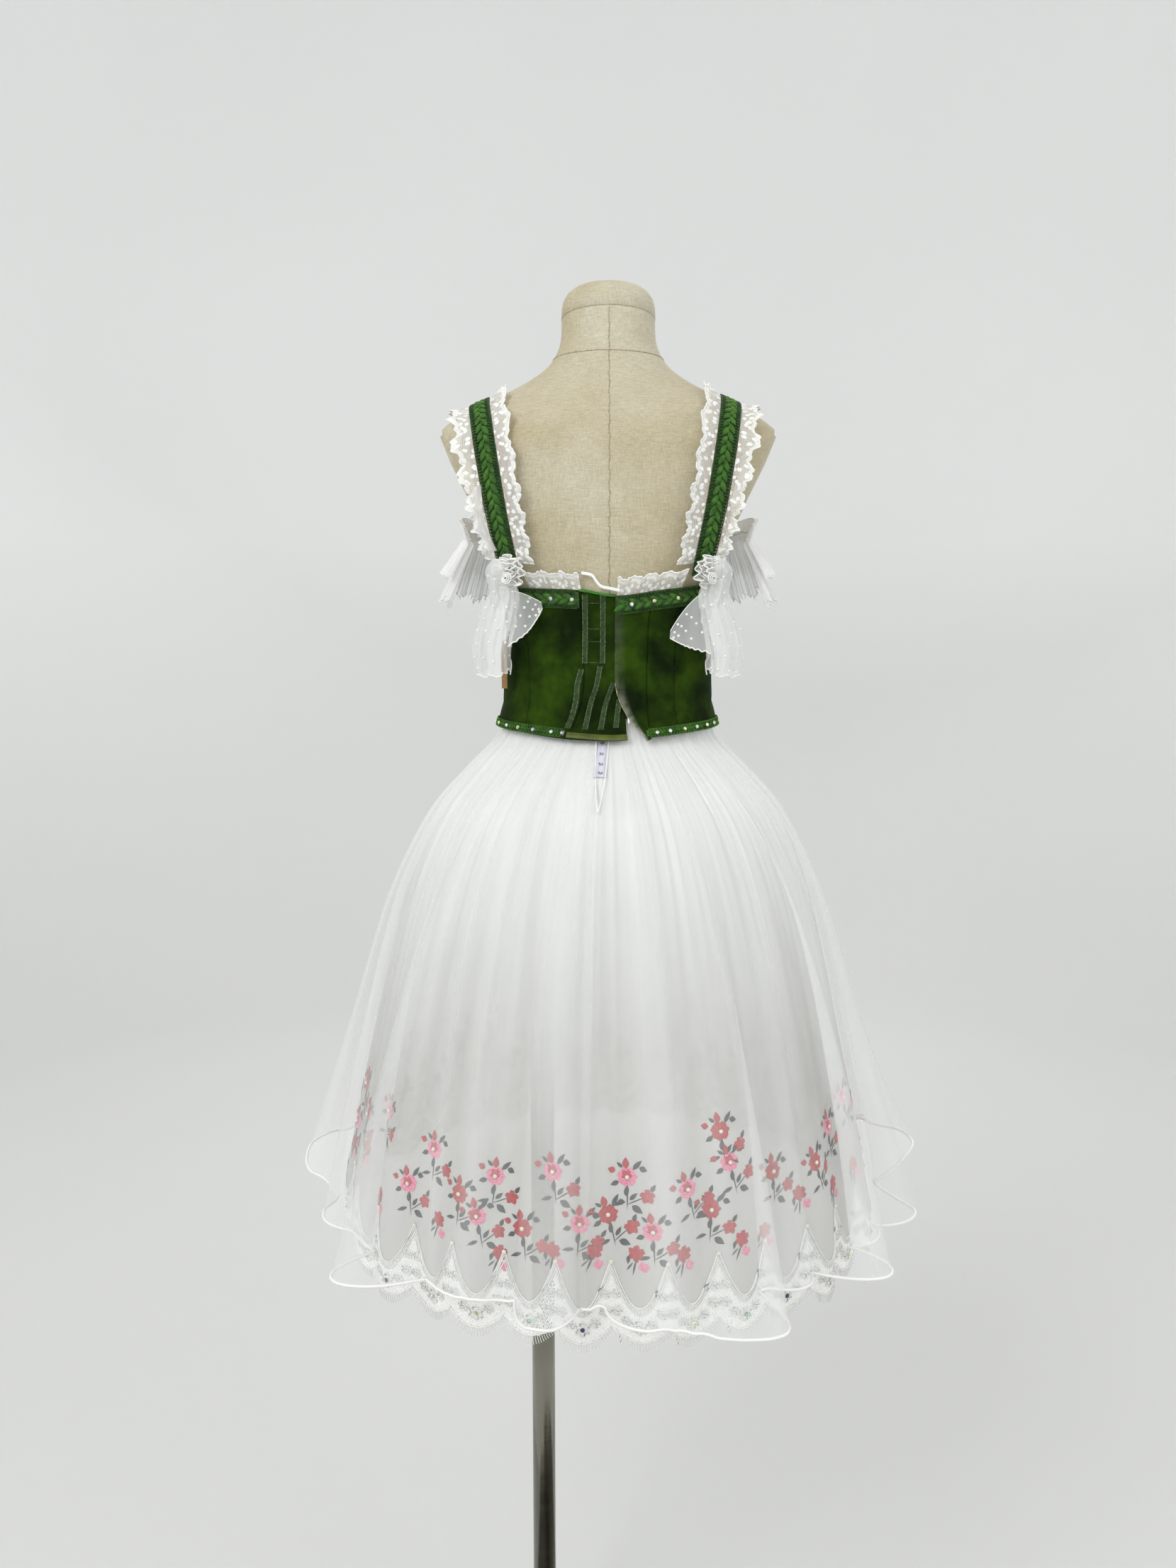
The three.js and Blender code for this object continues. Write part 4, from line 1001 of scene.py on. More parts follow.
def make_placket():
    """Hook tapes on the placket, with their two rows of stitches and the blocks between them."""
    tapes, threads = Joined(), Joined()
    for run in TAPE_RUNS:
        line = smooth_line(run, 60)
        across = np.linspace(-0.5, 0.5, 13) * TAPE_WIDTH / MM_PER_DEGREE
        a = line[:, None, 0] + across[None]
        z = line[:, None, 1] + 0 * across[None]
        raised = TAPE_RISE * np.clip((0.5 - np.abs(across * MM_PER_DEGREE / TAPE_WIDTH)) * 8, 0.1, 1)[None]
        blocks = 0.25 * np.cos(math.tau * z / 14) ** 8
        tapes.add(placket_face(a, z, raised + blocks + 0.05))
        for side in (-0.36, 0.36):
            shift = side * TAPE_WIDTH / MM_PER_DEGREE
            wave = 0.12 * np.sin(np.arange(60) * 1.9)
            threads.cord(placket_face(line[:, 0] + shift + wave, line[:, 1], TAPE_RISE + 0.25), 0.5, 5)
    for z in CROSS_STITCHES:
        for low, high in ((-18.2, -13.4), (-13, -6.8), (-6.2, -2.0)):
            az = np.linspace(low, high, 12)
            threads.cord(placket_face(az, z + 0.4 * np.sin(az * 3), TAPE_RISE * 0.8), 0.32, 5)
    dress_in(tapes.make("placket_tapes"), "hook_tape", "velvet")
    dress_in(threads.make("placket_stitches"), "stitch", "thread")

    top = Joined()
    az = np.linspace(-19, 4.4, 60)
    top.cord(on_bodice(az, edge("top", az) + 0.3, VELVET + 0.2), 1.5, 8)
    dress_in(top.make("placket_top_binding"), "binding_bright", "binding")

    low = np.linspace(-26.6, 11.6, 70)
    across = np.linspace(0, 1, 9)
    a, v = np.meshgrid(low, across)
    bulge = 1.5 * np.sin(math.pi * np.clip(v, 0.03, 0.97)) + 0.25 * np.sin(a * 2.3) * np.sin(math.pi * v)
    face = on_bodice(a, edge("bottom", a) + 0.5 + v * 6, VELVET + OVERLAY + bulge)
    back = on_bodice(a, edge("bottom", a) + 0.5 + v * 6, VELVET + OVERLAY - 0.1)
    made = dress_in(shell("placket_low_binding", face, back), "binding", "binding", "binding_placket")

    tab_az = np.array([12.9, 13.4, 13.9])
    a, z = np.meshgrid(tab_az, np.linspace(1296, 1307, 8))
    tab = grid("loose_tab", on_bodice(a, z, VELVET + OVERLAY + 1.2))
    dress_in(tab, "lace", "thread")


ELASTIC_LINE = ((-17.5, 1460, 1), (-11, 1457.5, 3), (-8, 1451, 5), (-5, 1445.5, 6), (1, 1443, 7), (6.5, 1441, 7))


def make_white_elastic():
    """The narrow white elastic across the top of the placket."""
    line = smooth_line(ELASTIC_LINE, 80)
    ribbon = Joined()
    for off, radius in ((0.0, 1.25), (0.9, 1.0)):
        path = on_form(line[:, 0], line[:, 1] + off * 1.6, 2.2 + line[:, 2])
        ribbon.cord(path, radius, 8)
    dress_in(ribbon.make("white_elastic"), "satin", "thread")


# Braids

RUNS = (
    ("back_left", -90, -19.5, -90, -28, False),
    ("back_right", 4.4, 90, 24, 90, True),
    ("front", 90.4, 269.6, 90.4, 269.6, False),
)
TOP_STONES = {
    "back_left": ((-46.7, "clear"), (-35.3, "lilac"), (-23.3, "clear")),
    "back_right": ((14.1, "clear"), (28.0, "gold"), (41.1, "gold"), (53.7, "clear")),
    "front": tuple((az, ("clear", "lilac", "gold")[k % 3]) for k, az in enumerate(range(112, 256, 12))),
}
LOW_STONES = {
    "back_left": tuple((az, c) for az, c in zip((-84, -74.7, -65.4, -56.6, -46.8, -35.7, -29),
                                                ("clear", "gold", "clear", "gold", "lilac", "clear", "lilac"))),
    "back_right": tuple((az, c) for az, c in zip((30.2, 38.2, 47.3, 55.3, 63.2, 70.6, 80),
                                                 ("clear", "clear", "gold", "clear", "gold", "clear", "gold"))),
    "front": tuple((az, ("clear", "gold", "lilac")[k % 3]) for k, az in enumerate(range(96, 268, 9))),
}


def trim_band(side, start, end, laps, name, height):
    middle = -height / 2 - 0.5 if name == "top" else height / 2 + 0.5

    def face(az, aside, off):
        over = lap(az) if laps else 0
        return on_bodice(az, edge(name, az) + middle + aside, VELVET + OVERLAY + off + over)

    return Band(face, start, end)


def backing(band, width, thick, name):
    """The thin cloth strip that a braid is worked on."""
    along = np.linspace(0, band.length, int(band.length / 3))
    across = np.linspace(-0.5, 0.5, 5) * width
    s, t = np.meshgrid(along, across)
    return shell(name, band.point(s, t, thick), band.point(s, t, 0.02))


def stones_on(band, stones, off, aside=0.0):
    for at, colour in stones:
        along = np.array([band.place_of(at)])
        axes = band.axes(along, np.array([aside]))
        add_stone(colour, band.point(along, aside, off)[0], axes[0, 2])


def make_braids():
    for side, start, end, low_start, low_end, laps in RUNS:
        top = trim_band(side, start, end, laps, "top", BRAID["height"])
        strip = backing(top, BRAID["height"] - 2, 0.7, f"braid_ground_{side}")
        dress_in(strip, "gimp", "braid", f"braid_top_{side}")
        dress_in(grains(f"braid_ear_{side}", [top], 0.92), "braid", "braid")
        loops = Joined()
        for aside in (-7.4, 7.4):
            loops.cord(gimp_path(top, aside, mirror=np.sign(aside)), GIMP_CORD["cord"], GIMP_CORD["sides"])
        low = trim_band(side, low_start, low_end, laps, "bottom", GIMP["height"])
        dress_in(loops.make(f"gimp_loops_{side}"), "gimp", "braid")
        loops = Joined()
        for aside in (-2.1, 2.1):
            path = gimp_path(low, aside, 2.3, np.sign(aside))
            loops.cord(path, GIMP_CORD["cord"], GIMP_CORD["sides"])
        dress_in(loops.make(f"gimp_low_loops_{side}"), "braid", "braid")
        strip = backing(low, GIMP["height"] - 2.5, 0.5, f"gimp_ground_{side}")
        dress_in(strip, "braid", "braid", f"braid_bottom_{side}")
        middle = Joined()
        along = np.linspace(1, low.length - 1, int(low.length / 1.2))
        middle.cord(low.point(along, 0.9 * np.sin(along * 1.3), 1.7), 0.8, 5)
        dress_in(middle.make(f"gimp_heart_{side}"), "braid", "braid")
        stones_on(top, TOP_STONES[side], 2.6)
        stones_on(low, LOW_STONES[side], 2.0)


# Straps and gathered lace

YOKE = table(
    "z side back front round",
    (1410, 122, 92, 110, 2.8),
    (1455, 136, 97, 124, 2.9),
    (1500, 165, 98, 117, 2.9),
    (1545, 195, 97, 97, 2.9),
    (1590, 204, 93, 80, 2.7),
    (1620, 196, 86.5, 68.5, 2.4),
    *[tuple(FORM[name][k] for name in ("z", "side", "back", "front", "round"))
      for k in range(len(FORM["z"])) if FORM["z"][k] > 1620],
)
STRAP_LINE = table(
    "at angle x",
    (0, -116, 100),
    (0.1, -99, 106),
    (0.32, -54, 121),
    (0.5, -17, 135),
    (0.6, 4, 137),
    (0.74, 34, 131),
    (0.88, 68, 119),
    (1, 95, 107),
)
SHOULDER = {"z": 1500, "near": 10, "far": 260, "halvings": 22}
STRAP_LACE = {"waves": 12, "width": 17, "uneven": 0.15, "ripple": 6, "apart": 0.8, "clear": 0.8, "from": 0.05,
              "to": 0.95}
TOP_LACE = {"height": 17, "lean": 2, "ripple": 4, "uneven": 0.1, "degrees": 9}
TOP_LACE_RUNS = (("back_left", -47, -18, False), ("back_right", 5, 43, True), ("front", 148, 212, False))


def over_shoulder(x, angle):
    """Where a ray from inside a shoulder leaves the yoke. The angle is 0 upwards and negative backwards."""
    x, angle = np.broadcast_arrays(np.asarray(x, float), angle)
    way_y, way_z = np.sin(np.radians(angle)), np.cos(np.radians(angle))
    near, far = np.full(x.shape, SHOULDER["near"], float), np.full(x.shape, SHOULDER["far"], float)
    for _ in range(SHOULDER["halvings"]):
        reach = (near + far) / 2
        y, z = reach * way_y, SHOULDER["z"] + reach * way_z
        side, power = read(YOKE, "z", "side", z), read(YOKE, "z", "round", z)
        depth = np.where(y < 0, read(YOKE, "z", "back", z), read(YOKE, "z", "front", z))
        inside = (np.abs(x) / side) ** power + (np.abs(y) / depth) ** power < 1
        near, far = np.where(inside, reach, near), np.where(inside, far, reach)
    return np.stack([x, near * way_y, SHOULDER["z"] + near * way_z], -1)


def strap_point(at, aside, off):
    """A point beside the right strap's middle line: `aside` is towards the arm, `off` is out from the yoke."""
    at, aside, off = np.broadcast_arrays(np.asarray(at, float), aside, off)
    angle = read(STRAP_LINE, "at", "angle", at)
    x = read(STRAP_LINE, "at", "x", at) + aside
    probe = 2
    along_x = over_shoulder(x + probe, angle) - over_shoulder(x - probe, angle)
    along_angle = over_shoulder(x, angle + probe) - over_shoulder(x, angle - probe)
    return over_shoulder(x, angle) + unit(np.cross(along_x, along_angle)) * (STRAP["clear"] + off)[..., None]


def small_ripple(u, count, seed):
    """An uneven ripple of that many waves, -1 to 1."""
    random = np.random.default_rng(seed)
    shift = random.uniform(0, math.tau, 3)
    u = math.tau * count * u
    return 0.6 * np.sin(u + shift[0]) + 0.3 * np.sin(0.43 * u + shift[1]) + 0.25 * np.sin(1.9 * u + shift[2])


def strap_lace_point(u, v, shift, way):
    lace = STRAP_LACE
    phase = math.tau * lace["waves"] * u
    small = small_ripple(u, 37, 5 if way > 0 else 6)
    at = mix(lace["to"], lace["from"], u) if way > 0 else mix(lace["from"], lace["to"], u)
    width = lace["width"] * (mix(0.55, 1, smoothstep(at, 0.12, 0.42)) if way > 0 else 1)
    reach = STRAP["width"] / 2 + lace["apart"] + width * v * (1 + lace["uneven"] * np.sin(phase + 1))
    reach = reach + v * 1.7 * small
    lift = LACE + lace["clear"] + v * lace["ripple"] * (0.5 + 0.5 * np.sin(phase)) + v**1.5 * 1.8 * (1 + small)
    return strap_point(at, shift + way * reach, lift)


def make_straps():
    for name, shift, flip in (("left", STRAP["left_shift"], -1), ("right", 0, 1)):
        mirror = np.array([flip, 1, 1])

        def face(at, aside, off, shift=shift, mirror=mirror):
            return strap_point(at, shift + aside, off) * mirror

        band = Band(face, 0, 1)
        strip = backing(band, STRAP["width"] - 2, 1.4, f"strap_ground_{name}")
        dress_in(strip, "gimp", "braid", f"strap_{name}")

        def raised(at, aside, off, face=face):
            return face(at, aside, off + 1.2)

        band = Band(raised, 0, 1)
        dress_in(grains(f"strap_ear_{name}", [band]), "braid", "braid")
        loops = Joined()
        for aside in (-8.3, 8.3):
            loops.cord(gimp_path(band, aside, 2.7, np.sign(aside)), GIMP_CORD["cord"], GIMP_CORD["sides"])
        dress_in(loops.make(f"strap_loops_{name}"), "gimp", "braid")

        u, v = np.meshgrid(np.linspace(0, 1, 420), np.linspace(0, 1, 10))
        for place, way in (("inner", -1), ("outer", 1)):
            points = strap_lace_point(u, v, shift, way) * mirror
            lace = grid(f"strap_lace_{name}_{place}", points)
            dress_in(lace, "raschel", "lace", f"lace_strap_{name}_{place}")
            cords = Joined().cord(points[-1], 0.75, 6)
            dress_in(cords.make(f"strap_lace_edge_{name}_{place}"), "satin", "lace")

        u = np.linspace(0.12, 0.42, 60)
        bands = Joined()
        for way in (-1, 1):
            aside = way * (STRAP["width"] / 2 + 3.5 + 1.5 * np.sin(u * 40))
            a, t = np.meshgrid(u, np.linspace(-2.6, 2.6, 4))
            bands.add(strap_point(a, shift + aside[None] + t, 0.6) * mirror)
        dress_in(bands.make(f"strap_elastics_{name}"), "elastic", "elastic")


def make_top_lace():
    for side, start, end, laps in TOP_LACE_RUNS:
        waves = round((end - start) / TOP_LACE["degrees"])
        az, v = np.meshgrid(np.linspace(start, end, int((end - start) * 5)), np.linspace(0, 1, 10))
        phase = math.tau * waves * (az - start) / (end - start)
        small = small_ripple((az - start) / (end - start), waves * 3.4, 9)
        z = edge("top", az) + 0.5 + v * TOP_LACE["height"] * (1 + TOP_LACE["uneven"] * np.cos(phase)) + v * small
        ripple = v * (TOP_LACE["lean"] + TOP_LACE["ripple"] * (1 + np.sin(phase)) + 1.5 * small)
        points = on_bodice(az, z, VELVET + 0.6 + ripple + (lap(az) if laps else 0))
        lace = grid(f"top_lace_{side}", points)
        dress_in(lace, "raschel", "lace", f"lace_top_{side}")
        edge_cord = Joined().cord(points[-1], 0.95, 6)
        dress_in(edge_cord.make(f"top_lace_edge_{side}"), "satin", "lace")


# Sleeves

FRILL = {"pleats": 20, "from": -34, "to": 79, "middle_x": 118, "wide": 42, "deep": 70, "z": 1474, "rise": 32,
         "front_rise": 12, "header": 24, "fall": 72, "flare": 0.42, "pleat": 4.6, "head_at": 0.25, "steep": 0.9}
DRAPE = table(
    "t az z gap wide deep",
    (0, 54, 1476, 12, 7, 5),
    (0.14, 54, 1464, 9.5, 18, 10),
    (0.3, 55, 1440, -1, 19, 15),
    (0.5, 59, 1414, 3, 26, 18),
    (0.75, 63, 1380, 6, 27, 19),
    (1, 64, 1346, 7, 22, 16),
)
DRAPE_FOLDS = {"count": 4, "depth": 0.12, "start": 0.6}
DRAPE_SEAT = 1.1
BRAID_FACE = VELVET + OVERLAY + BRAID["thick"]
FLAPS = {
    "left": {"az_tip": 40.5, "z_tip": 1426, "az_root": 47.4, "top": 1441, "low": 1392, "rise": 15},
    "right": {"az_tip": 39, "z_tip": 1394, "az_root": 47.4, "top": 1440, "low": 1378, "rise": 15},
}


def frill_point(u, v, tier=0):
    """A point of the pleated frill. The second tier is shorter and lies on the first one."""
    turn = np.radians(mix(FRILL["to"], FRILL["from"], u))
    out_x, out_y = np.cos(turn), np.sin(turn)
    ragged = 0.07 * np.sin(math.tau * 5.3 * u + 2 * tier) + 0.05 * np.sin(math.tau * 21.7 * u + tier)
    fall = FRILL["fall"] * (1 - 0.42 * tier) * (1 + ragged)
    drop = mix(-FRILL["header"], fall, v)
    pleats = math.tau * FRILL["pleats"] * (u + 0.012 * np.sin(9 * u + tier))
    fine = 0.45 * np.cos(2.63 * pleats + 1)
    zigzag = FRILL["pleat"] * np.abs(v - FRILL["head_at"]) * (np.cos(pleats + tier) + fine)
    flare = np.abs(drop) * FRILL["flare"] + zigzag + tier * (3 + 10 * v)
    return np.stack([
        FRILL["middle_x"] + (FRILL["wide"] + flare) * out_x,
        (FRILL["deep"] + flare) * out_y,
        FRILL["z"] + FRILL["rise"] * out_x + FRILL["front_rise"] * out_y - drop * FRILL["steep"],
    ], -1)


def drape_point(turn, t, inset=0.0):
    get = {name: read(DRAPE, "t", name, t) for name in ("az", "z", "gap", "wide", "deep")}
    fold = 1 + DRAPE_FOLDS["depth"] * t * np.cos(DRAPE_FOLDS["count"] * turn + DRAPE_FOLDS["start"])
    fold = fold + 0.05 * np.sin(9 * turn + 5 * t) * smoothstep(t, 0.1, 0.4) + 0.03 * np.sin(17 * turn - 7 * t)
    wide, deep = (get["wide"] - inset) * fold, (get["deep"] - inset) * fold
    middle = on_bodice(get["az"], get["z"], BRAID_FACE)
    out = get["gap"] + get["deep"] * DRAPE_SEAT + deep * np.sin(turn)
    return middle + outward(get["az"]) * out[..., None] + outward(get["az"] + 90) * (wide * np.cos(turn))[..., None]


def drape_end(turn):
    """How far down the drape's uneven lower edge lies."""
    return 0.955 + 0.035 * np.cos(turn - 2.2) + 0.01 * np.sin(7 * turn)


def flap_point(name, u, v, off=0.0):
    f = FLAPS[name]
    high = (f["top"] - f["low"]) * mix(0.12, 1, u)
    z = mix(f["z_tip"], (f["top"] + f["low"]) / 2, u) + (v - 0.5) * high
    wave = 1.2 * np.sin(7 * v + 4 * u) * u * (1 - u) * 4
    return on_bodice(mix(f["az_tip"], f["az_root"], u), z, BRAID_FACE + LACE + 0.1 + f["rise"] * u**2 + wave + off)


def dots(name, places, outs, radius=1.55):
    """Small flocked dots on net."""
    template = ico(1)
    outs = unit(outs)
    side = unit(np.cross(outs, [[0.1, 0.2, 1.0]]))
    axes = np.stack([side * radius, np.cross(outs, side) * radius, outs * radius * 0.45], axis=1)
    return dress_in(scatter(name, template, places, axes), "satin", "tulle")


FLAP_REACH = 1.35


def surface_normals(point, a, b, step=0.01):
    return np.cross(point(a + step, b) - point(a - step, b), point(a, b + step) - point(a, b - step))


def make_sleeves():
    random = np.random.default_rng(11)
    for name, flip in (("left", -1), ("right", 1)):
        mirror = np.array([flip, 1, 1])
        u, v = np.meshgrid(np.linspace(0, 1, 420), np.linspace(0, 1, 17))
        points = frill_point(u, v) * mirror
        frill = grid(f"frill_{name}", points)
        dress_in(frill, "frill_net", "tulle", f"sleeve_frill_{name}")
        tier = grid(f"frill_tier_{name}", frill_point(u, v, 1) * mirror)
        dress_in(tier, "frill_net", "tulle")
        rims = Joined()
        for line, radius in ((points[-1], 0.45), (points[0], 0.45), (frill_point(u[3], v[3]) * mirror, 0.7)):
            rims.cord(line, radius, 4)
        dress_in(rims.make(f"frill_edges_{name}"), "satin", "thread")

        turn, t = np.meshgrid(np.linspace(0, math.tau, 120, endpoint=False), np.linspace(0, 1, 44))
        points = drape_point(turn, t * drape_end(turn)) * mirror
        drape = grid(f"drape_{name}", points, closed=True)
        dress_in(drape, "sleeve", "tulle", f"sleeve_drape_{name}")

        uu, vv = np.meshgrid(np.linspace(0, FLAP_REACH, 48), np.linspace(0, 1, 40))
        flap = grid(f"flap_{name}", flap_point(name, uu, vv) * mirror)
        dress_in(flap, "sleeve", "tulle", f"sleeve_flap_{name}")

        hems = Joined()
        around = np.linspace(0, math.tau, 160)
        hems.cord(drape_point(around, drape_end(around)) * mirror, 0.8, 6)
        line = np.linspace(0, FLAP_REACH, 60)
        wiggle = 0.012 * np.sin(line * 42)
        hems.cord(flap_point(name, line, 0 * line + wiggle * line, 0.3) * mirror, 0.8, 6)
        hems.cord(flap_point(name, line, 1 + 0 * line, 0.3) * mirror, 0.5, 6)
        run = smooth_line(((3.5, 0.62), (4.1, 0.54), (4.7, 0.5), (5.3, 0.43)), 80)
        along = run[:, 1] + 0.008 * np.sin(np.linspace(0, 36, 80))
        hems.cord(drape_point(run[:, 0], along, -0.5) * mirror, 0.8, 6)
        run = smooth_line(((4.4, 0.98), (4.6, 0.86), (5.0, 0.8), (5.6, 0.84)), 70)
        hems.cord(drape_point(run[:, 0], run[:, 1] + 0.008 * np.sin(np.linspace(0, 30, 70)), -0.5) * mirror, 0.7, 6)
        dress_in(hems.make(f"sleeve_hems_{name}"), "satin", "thread")

        a, b = np.meshgrid(np.arange(9) / 9 * math.tau, np.linspace(0.2, 0.95, 8))
        a = (a + (np.arange(8) % 2)[:, None] * math.pi / 9 + random.uniform(-0.12, 0.12, a.shape)).ravel()
        b = (b + random.uniform(-0.03, 0.03, b.shape)).ravel()
        dots(f"drape_dots_{name}", drape_point(a, b, -0.3) * mirror, surface_normals(drape_point, a, b) * mirror)
        a, b = np.linspace(0.2, 1.25, 13), 0.14 + 0.72 * (np.arange(13) * 0.382 % 1)
        dots(f"flap_dots_{name}", flap_point(name, a, b, 0.2) * mirror,
             surface_normals(lambda p, q: flap_point(name, p, q), a, b) * mirror)
        make_knot(name, mirror, random)


KNOT = {"az": 50, "z": 1461, "off": 22, "rings": 4, "first": 3, "step": 3.6, "petals": 5}


def make_knot(name, mirror, random):
    """The gathered bunch of lace where the sleeve is caught to the strap, with a curled corded edge."""
    middle = on_bodice(np.array(KNOT["az"]), KNOT["z"], KNOT["off"])
    out, side = outward(KNOT["az"]), outward(KNOT["az"] + 90)
    up = np.array([0, 0, 1.0])
    bunch, cords = Joined(), Joined()
    turn, v = np.meshgrid(np.linspace(0, math.tau, 120), np.linspace(0, 1, 7))
    for ring in range(KNOT["rings"]):
        shift = random.uniform(0, math.tau)
        waves = KNOT["petals"] + ring
        reach = KNOT["first"] + KNOT["step"] * (ring + 2.4 * v) + 2.2 * v * np.sin(waves * turn + shift)
        lift = 5 - 2.6 * ring + 5 * v * np.cos(waves * turn * 1.5 + shift) * (1 - 0.4 * v)
        points = middle + out * lift[..., None] + side * (reach * np.cos(turn) * 1.25)[..., None]
        points = (points + up * (reach * np.sin(turn) * 0.8)[..., None]) * mirror
        bunch.add(points)
        cords.cord(points[-1], 0.75, 6)
    curl = np.linspace(0, 3.2 * math.tau, 180)
    reach = 1.5 + 0.42 * curl
    spiral = middle + out * (9 - 0.1 * curl)[:, None] + side * (reach * np.cos(curl) - 12)[:, None]
    cords.cord((spiral + up * (reach * np.sin(curl) * 0.7 - 6)[:, None]) * mirror, 0.8, 6)
    made = dress_in(bunch.make(f"knot_{name}"), "raschel", "lace")
    dress_in(cords.make(f"knot_cords_{name}"), "satin", "lace")


def make_net_band():
    """The band of net that runs from the left strap's outer lace down to the knot."""
    line = smooth_line(((0.31, 15, 3), (0.24, 17, 6), (0.17, 14, 8), (0.1, 8, 9)), 50)
    a, w = np.meshgrid(np.linspace(-5, 5, 9), np.arange(50))
    crimp = 1.2 * np.sin(a * 1.9 + w * 0.1)
    points = strap_point(line[w, 0], STRAP["left_shift"] + line[w, 1] + a, line[w, 2] + crimp) * [-1, 1, 1]
    band = dress_in(grid("net_band", points), "sleeve", "tulle")


def make_nude_elastic():
    turn = np.linspace(-0.22, 0.22, 7) - math.pi / 2
    a, t = np.meshgrid(turn, np.linspace(0.7, 1.1, 40))
    outer = drape_point(a, np.minimum(t, 1), SHEER + 1.6)
    inner = drape_point(a, np.minimum(t, 1), SHEER + 2.8)
    for points in (outer, inner):
        points[..., 2] -= np.maximum(0, t - 1) * 130
    made = shell("nude_elastic", outer * [-1, 1, 1], inner * [-1, 1, 1])
    dress_in(made, "elastic", "elastic", "elastic_nude")


# The skirts

SKIRT = table(
    "s z side back round",
    (0, 1300, 124.6, 87.6, 2.25),
    (0.025, 1286, 126.4, 90, 2.25),
    (0.05, 1271, 134, 99, 2.2),
    (0.1, 1240, 163, 134, 2.1),
    (0.18, 1195, 203, 178, 2),
    (0.28, 1140, 233, 210, 2),
    (0.38, 1084, 255, 233, 2),
    (0.5, 1015, 273, 254, 2),
    (0.62, 945, 288, 270, 2),
    (0.74, 877, 302, 283, 2),
    (0.88, 795, 318, 294, 2),
    (1, 724, 330, 300, 2),
)
OVER_FOLDS = table(
    "az out before after lean growth pinch",
    (-167, 56, 9, 8, 1, 1.3, 1.5),
    (-150, 30, 8, 8, 0, 1.3, 1),
    (-133, 54, 9, 8, 2, 1.3, 1.5),
    (-113, 38, 9, 9, 0, 1.6, 1.5),
    (-88, 52, 12, 10, 0, 2, 1.5),
    (-71, 22, 8, 8, 0, 1.3, 1),
    (-47, 64, 7, 9, -2.5, 1.2, 1.5),
    (-30, 12, 9, 9, 0, 1.2, 1),
    (-12, 44, 7, 6, 0, 1.2, 1.5),
    (5, 24, 6, 8, 0, 1.2, 1.5),
    (23, 76, 24, 7, 2.5, 1.2, 1.5),
    (38, 18, 6, 5, 0, 1.2, 1),
    (49.5, 60, 7, 7, 2, 1.2, 1.5),
    (62, 18, 6, 6, 0, 1.2, 1),
    (73, 46, 8, 6, 1, 1.6, 1.5),
    (86, 72, 7, 10, -1, 3, 1.5),
    (106, 36, 9, 9, 0, 1.6, 1.5),
    (124, 56, 9, 8, 1.5, 1.3, 1.5),
    (141, 30, 8, 8, 0, 1.3, 1),
    (158, 54, 8, 9, -2, 1.3, 1.5),
    (176, 34, 8, 8, 0, 1.3, 1),
)
HEM = table(
    "az s",
    (-180, 0.96),
    (-110, 0.95),
    (-91, 0.93),
    (-76, 1),
    (0, 1),
    (74, 1),
    (88, 0.9),
    (110, 0.95),
    (180, 0.96),
)


def even_folds(count, start, step, wobble, out, wave, half, growth):
    i = np.arange(count)
    return {
        "az": start + step * i + wobble * np.sin(1.7 * i),
        "out": out + wave * np.sin(2.3 * i),
        "before": np.full(count, half),
        "after": np.full(count, half),
        "lean": np.zeros(count),
        "growth": np.full(count, growth),
        "pinch": np.zeros(count),
    }


FLOWER_FOLDS = even_folds(18, -170, 20, 3, 9, 3, 9.0, 1.3)
PETTICOAT_FOLDS = even_folds(12, -165, 30, 0, 12, 0, 14.0, 2.0)
SINK = {"flower": SHEER + 2, "flower_low": 12, "petticoat": 2 * SHEER + 2 + SEAM, "petticoat_low": 30}
FLOWER_DROP = 620


def skirt_point(az, s, folds, inset):
    """A point of a skirt layer. `inset` is how far the layer lies inside the overskirt."""
    out, lean = np.zeros_like(az), np.zeros_like(az)
    for k in range(len(folds["az"])):
        gap = wrap(az - folds["az"][k])
        t = np.minimum(np.where(gap < 0, -gap / folds["before"][k], gap / folds["after"][k]), 1)
        grown = s ** folds["growth"][k]
        bell = np.cos(math.pi * t / 2) ** 2 * grown
        out += folds["out"][k] * bell
        lean += folds["lean"][k] * bell + folds["pinch"][k] * np.sin(math.pi * t) * np.sign(gap) * grown
    base = section(SKIRT, az + lean, s, -inset, by="s", front=False)
    return base + outward(az + lean) * out[..., None]


def gathers(az, s, count, depth, seed):
    """Fine gathers that spread out and die away below the waist."""
    random = np.random.default_rng(seed)
    ripple = np.zeros_like(az)
    for k in range(5):
        turns = int(count * (0.6 + 0.22 * k))
        ripple += np.cos(np.radians(az * turns) + random.uniform(0, math.tau)) * random.uniform(0.5, 1)
    reach = smoothstep(s, 0.02, 0.1) * (0.12 + 0.88 * (1 - smoothstep(s, 0.16, 0.85)) ** 1.4)
    return depth * ripple / 5 * reach


def over_point(az, s, inset=0.0):
    points = skirt_point(az, s, OVER_FOLDS, inset)
    return points + outward(az) * gathers(az, s, 84, 7, 3)[..., None]


def flower_point(az, s, off=0.0):
    """The flowered layer. Below the overskirt's length it hangs straight down."""
    reach = np.minimum(s, 1)
    inset = SINK["flower"] + SINK["flower_low"] * smoothstep(reach, 0, 0.5)
    points = skirt_point(az, reach, FLOWER_FOLDS, inset - off)
    points[..., 2] -= (s - reach) * FLOWER_DROP
    return points + outward(az) * gathers(az, reach, 70, 5, 4)[..., None]


FALL = np.linspace(0, 1.3, 1301)
FALL_Z = flower_point(0 * FALL, FALL)[:, 2]


def on_flower_skirt(az, z, off=0.0):
    return flower_point(az, np.interp(-z, -FALL_Z, FALL), off)


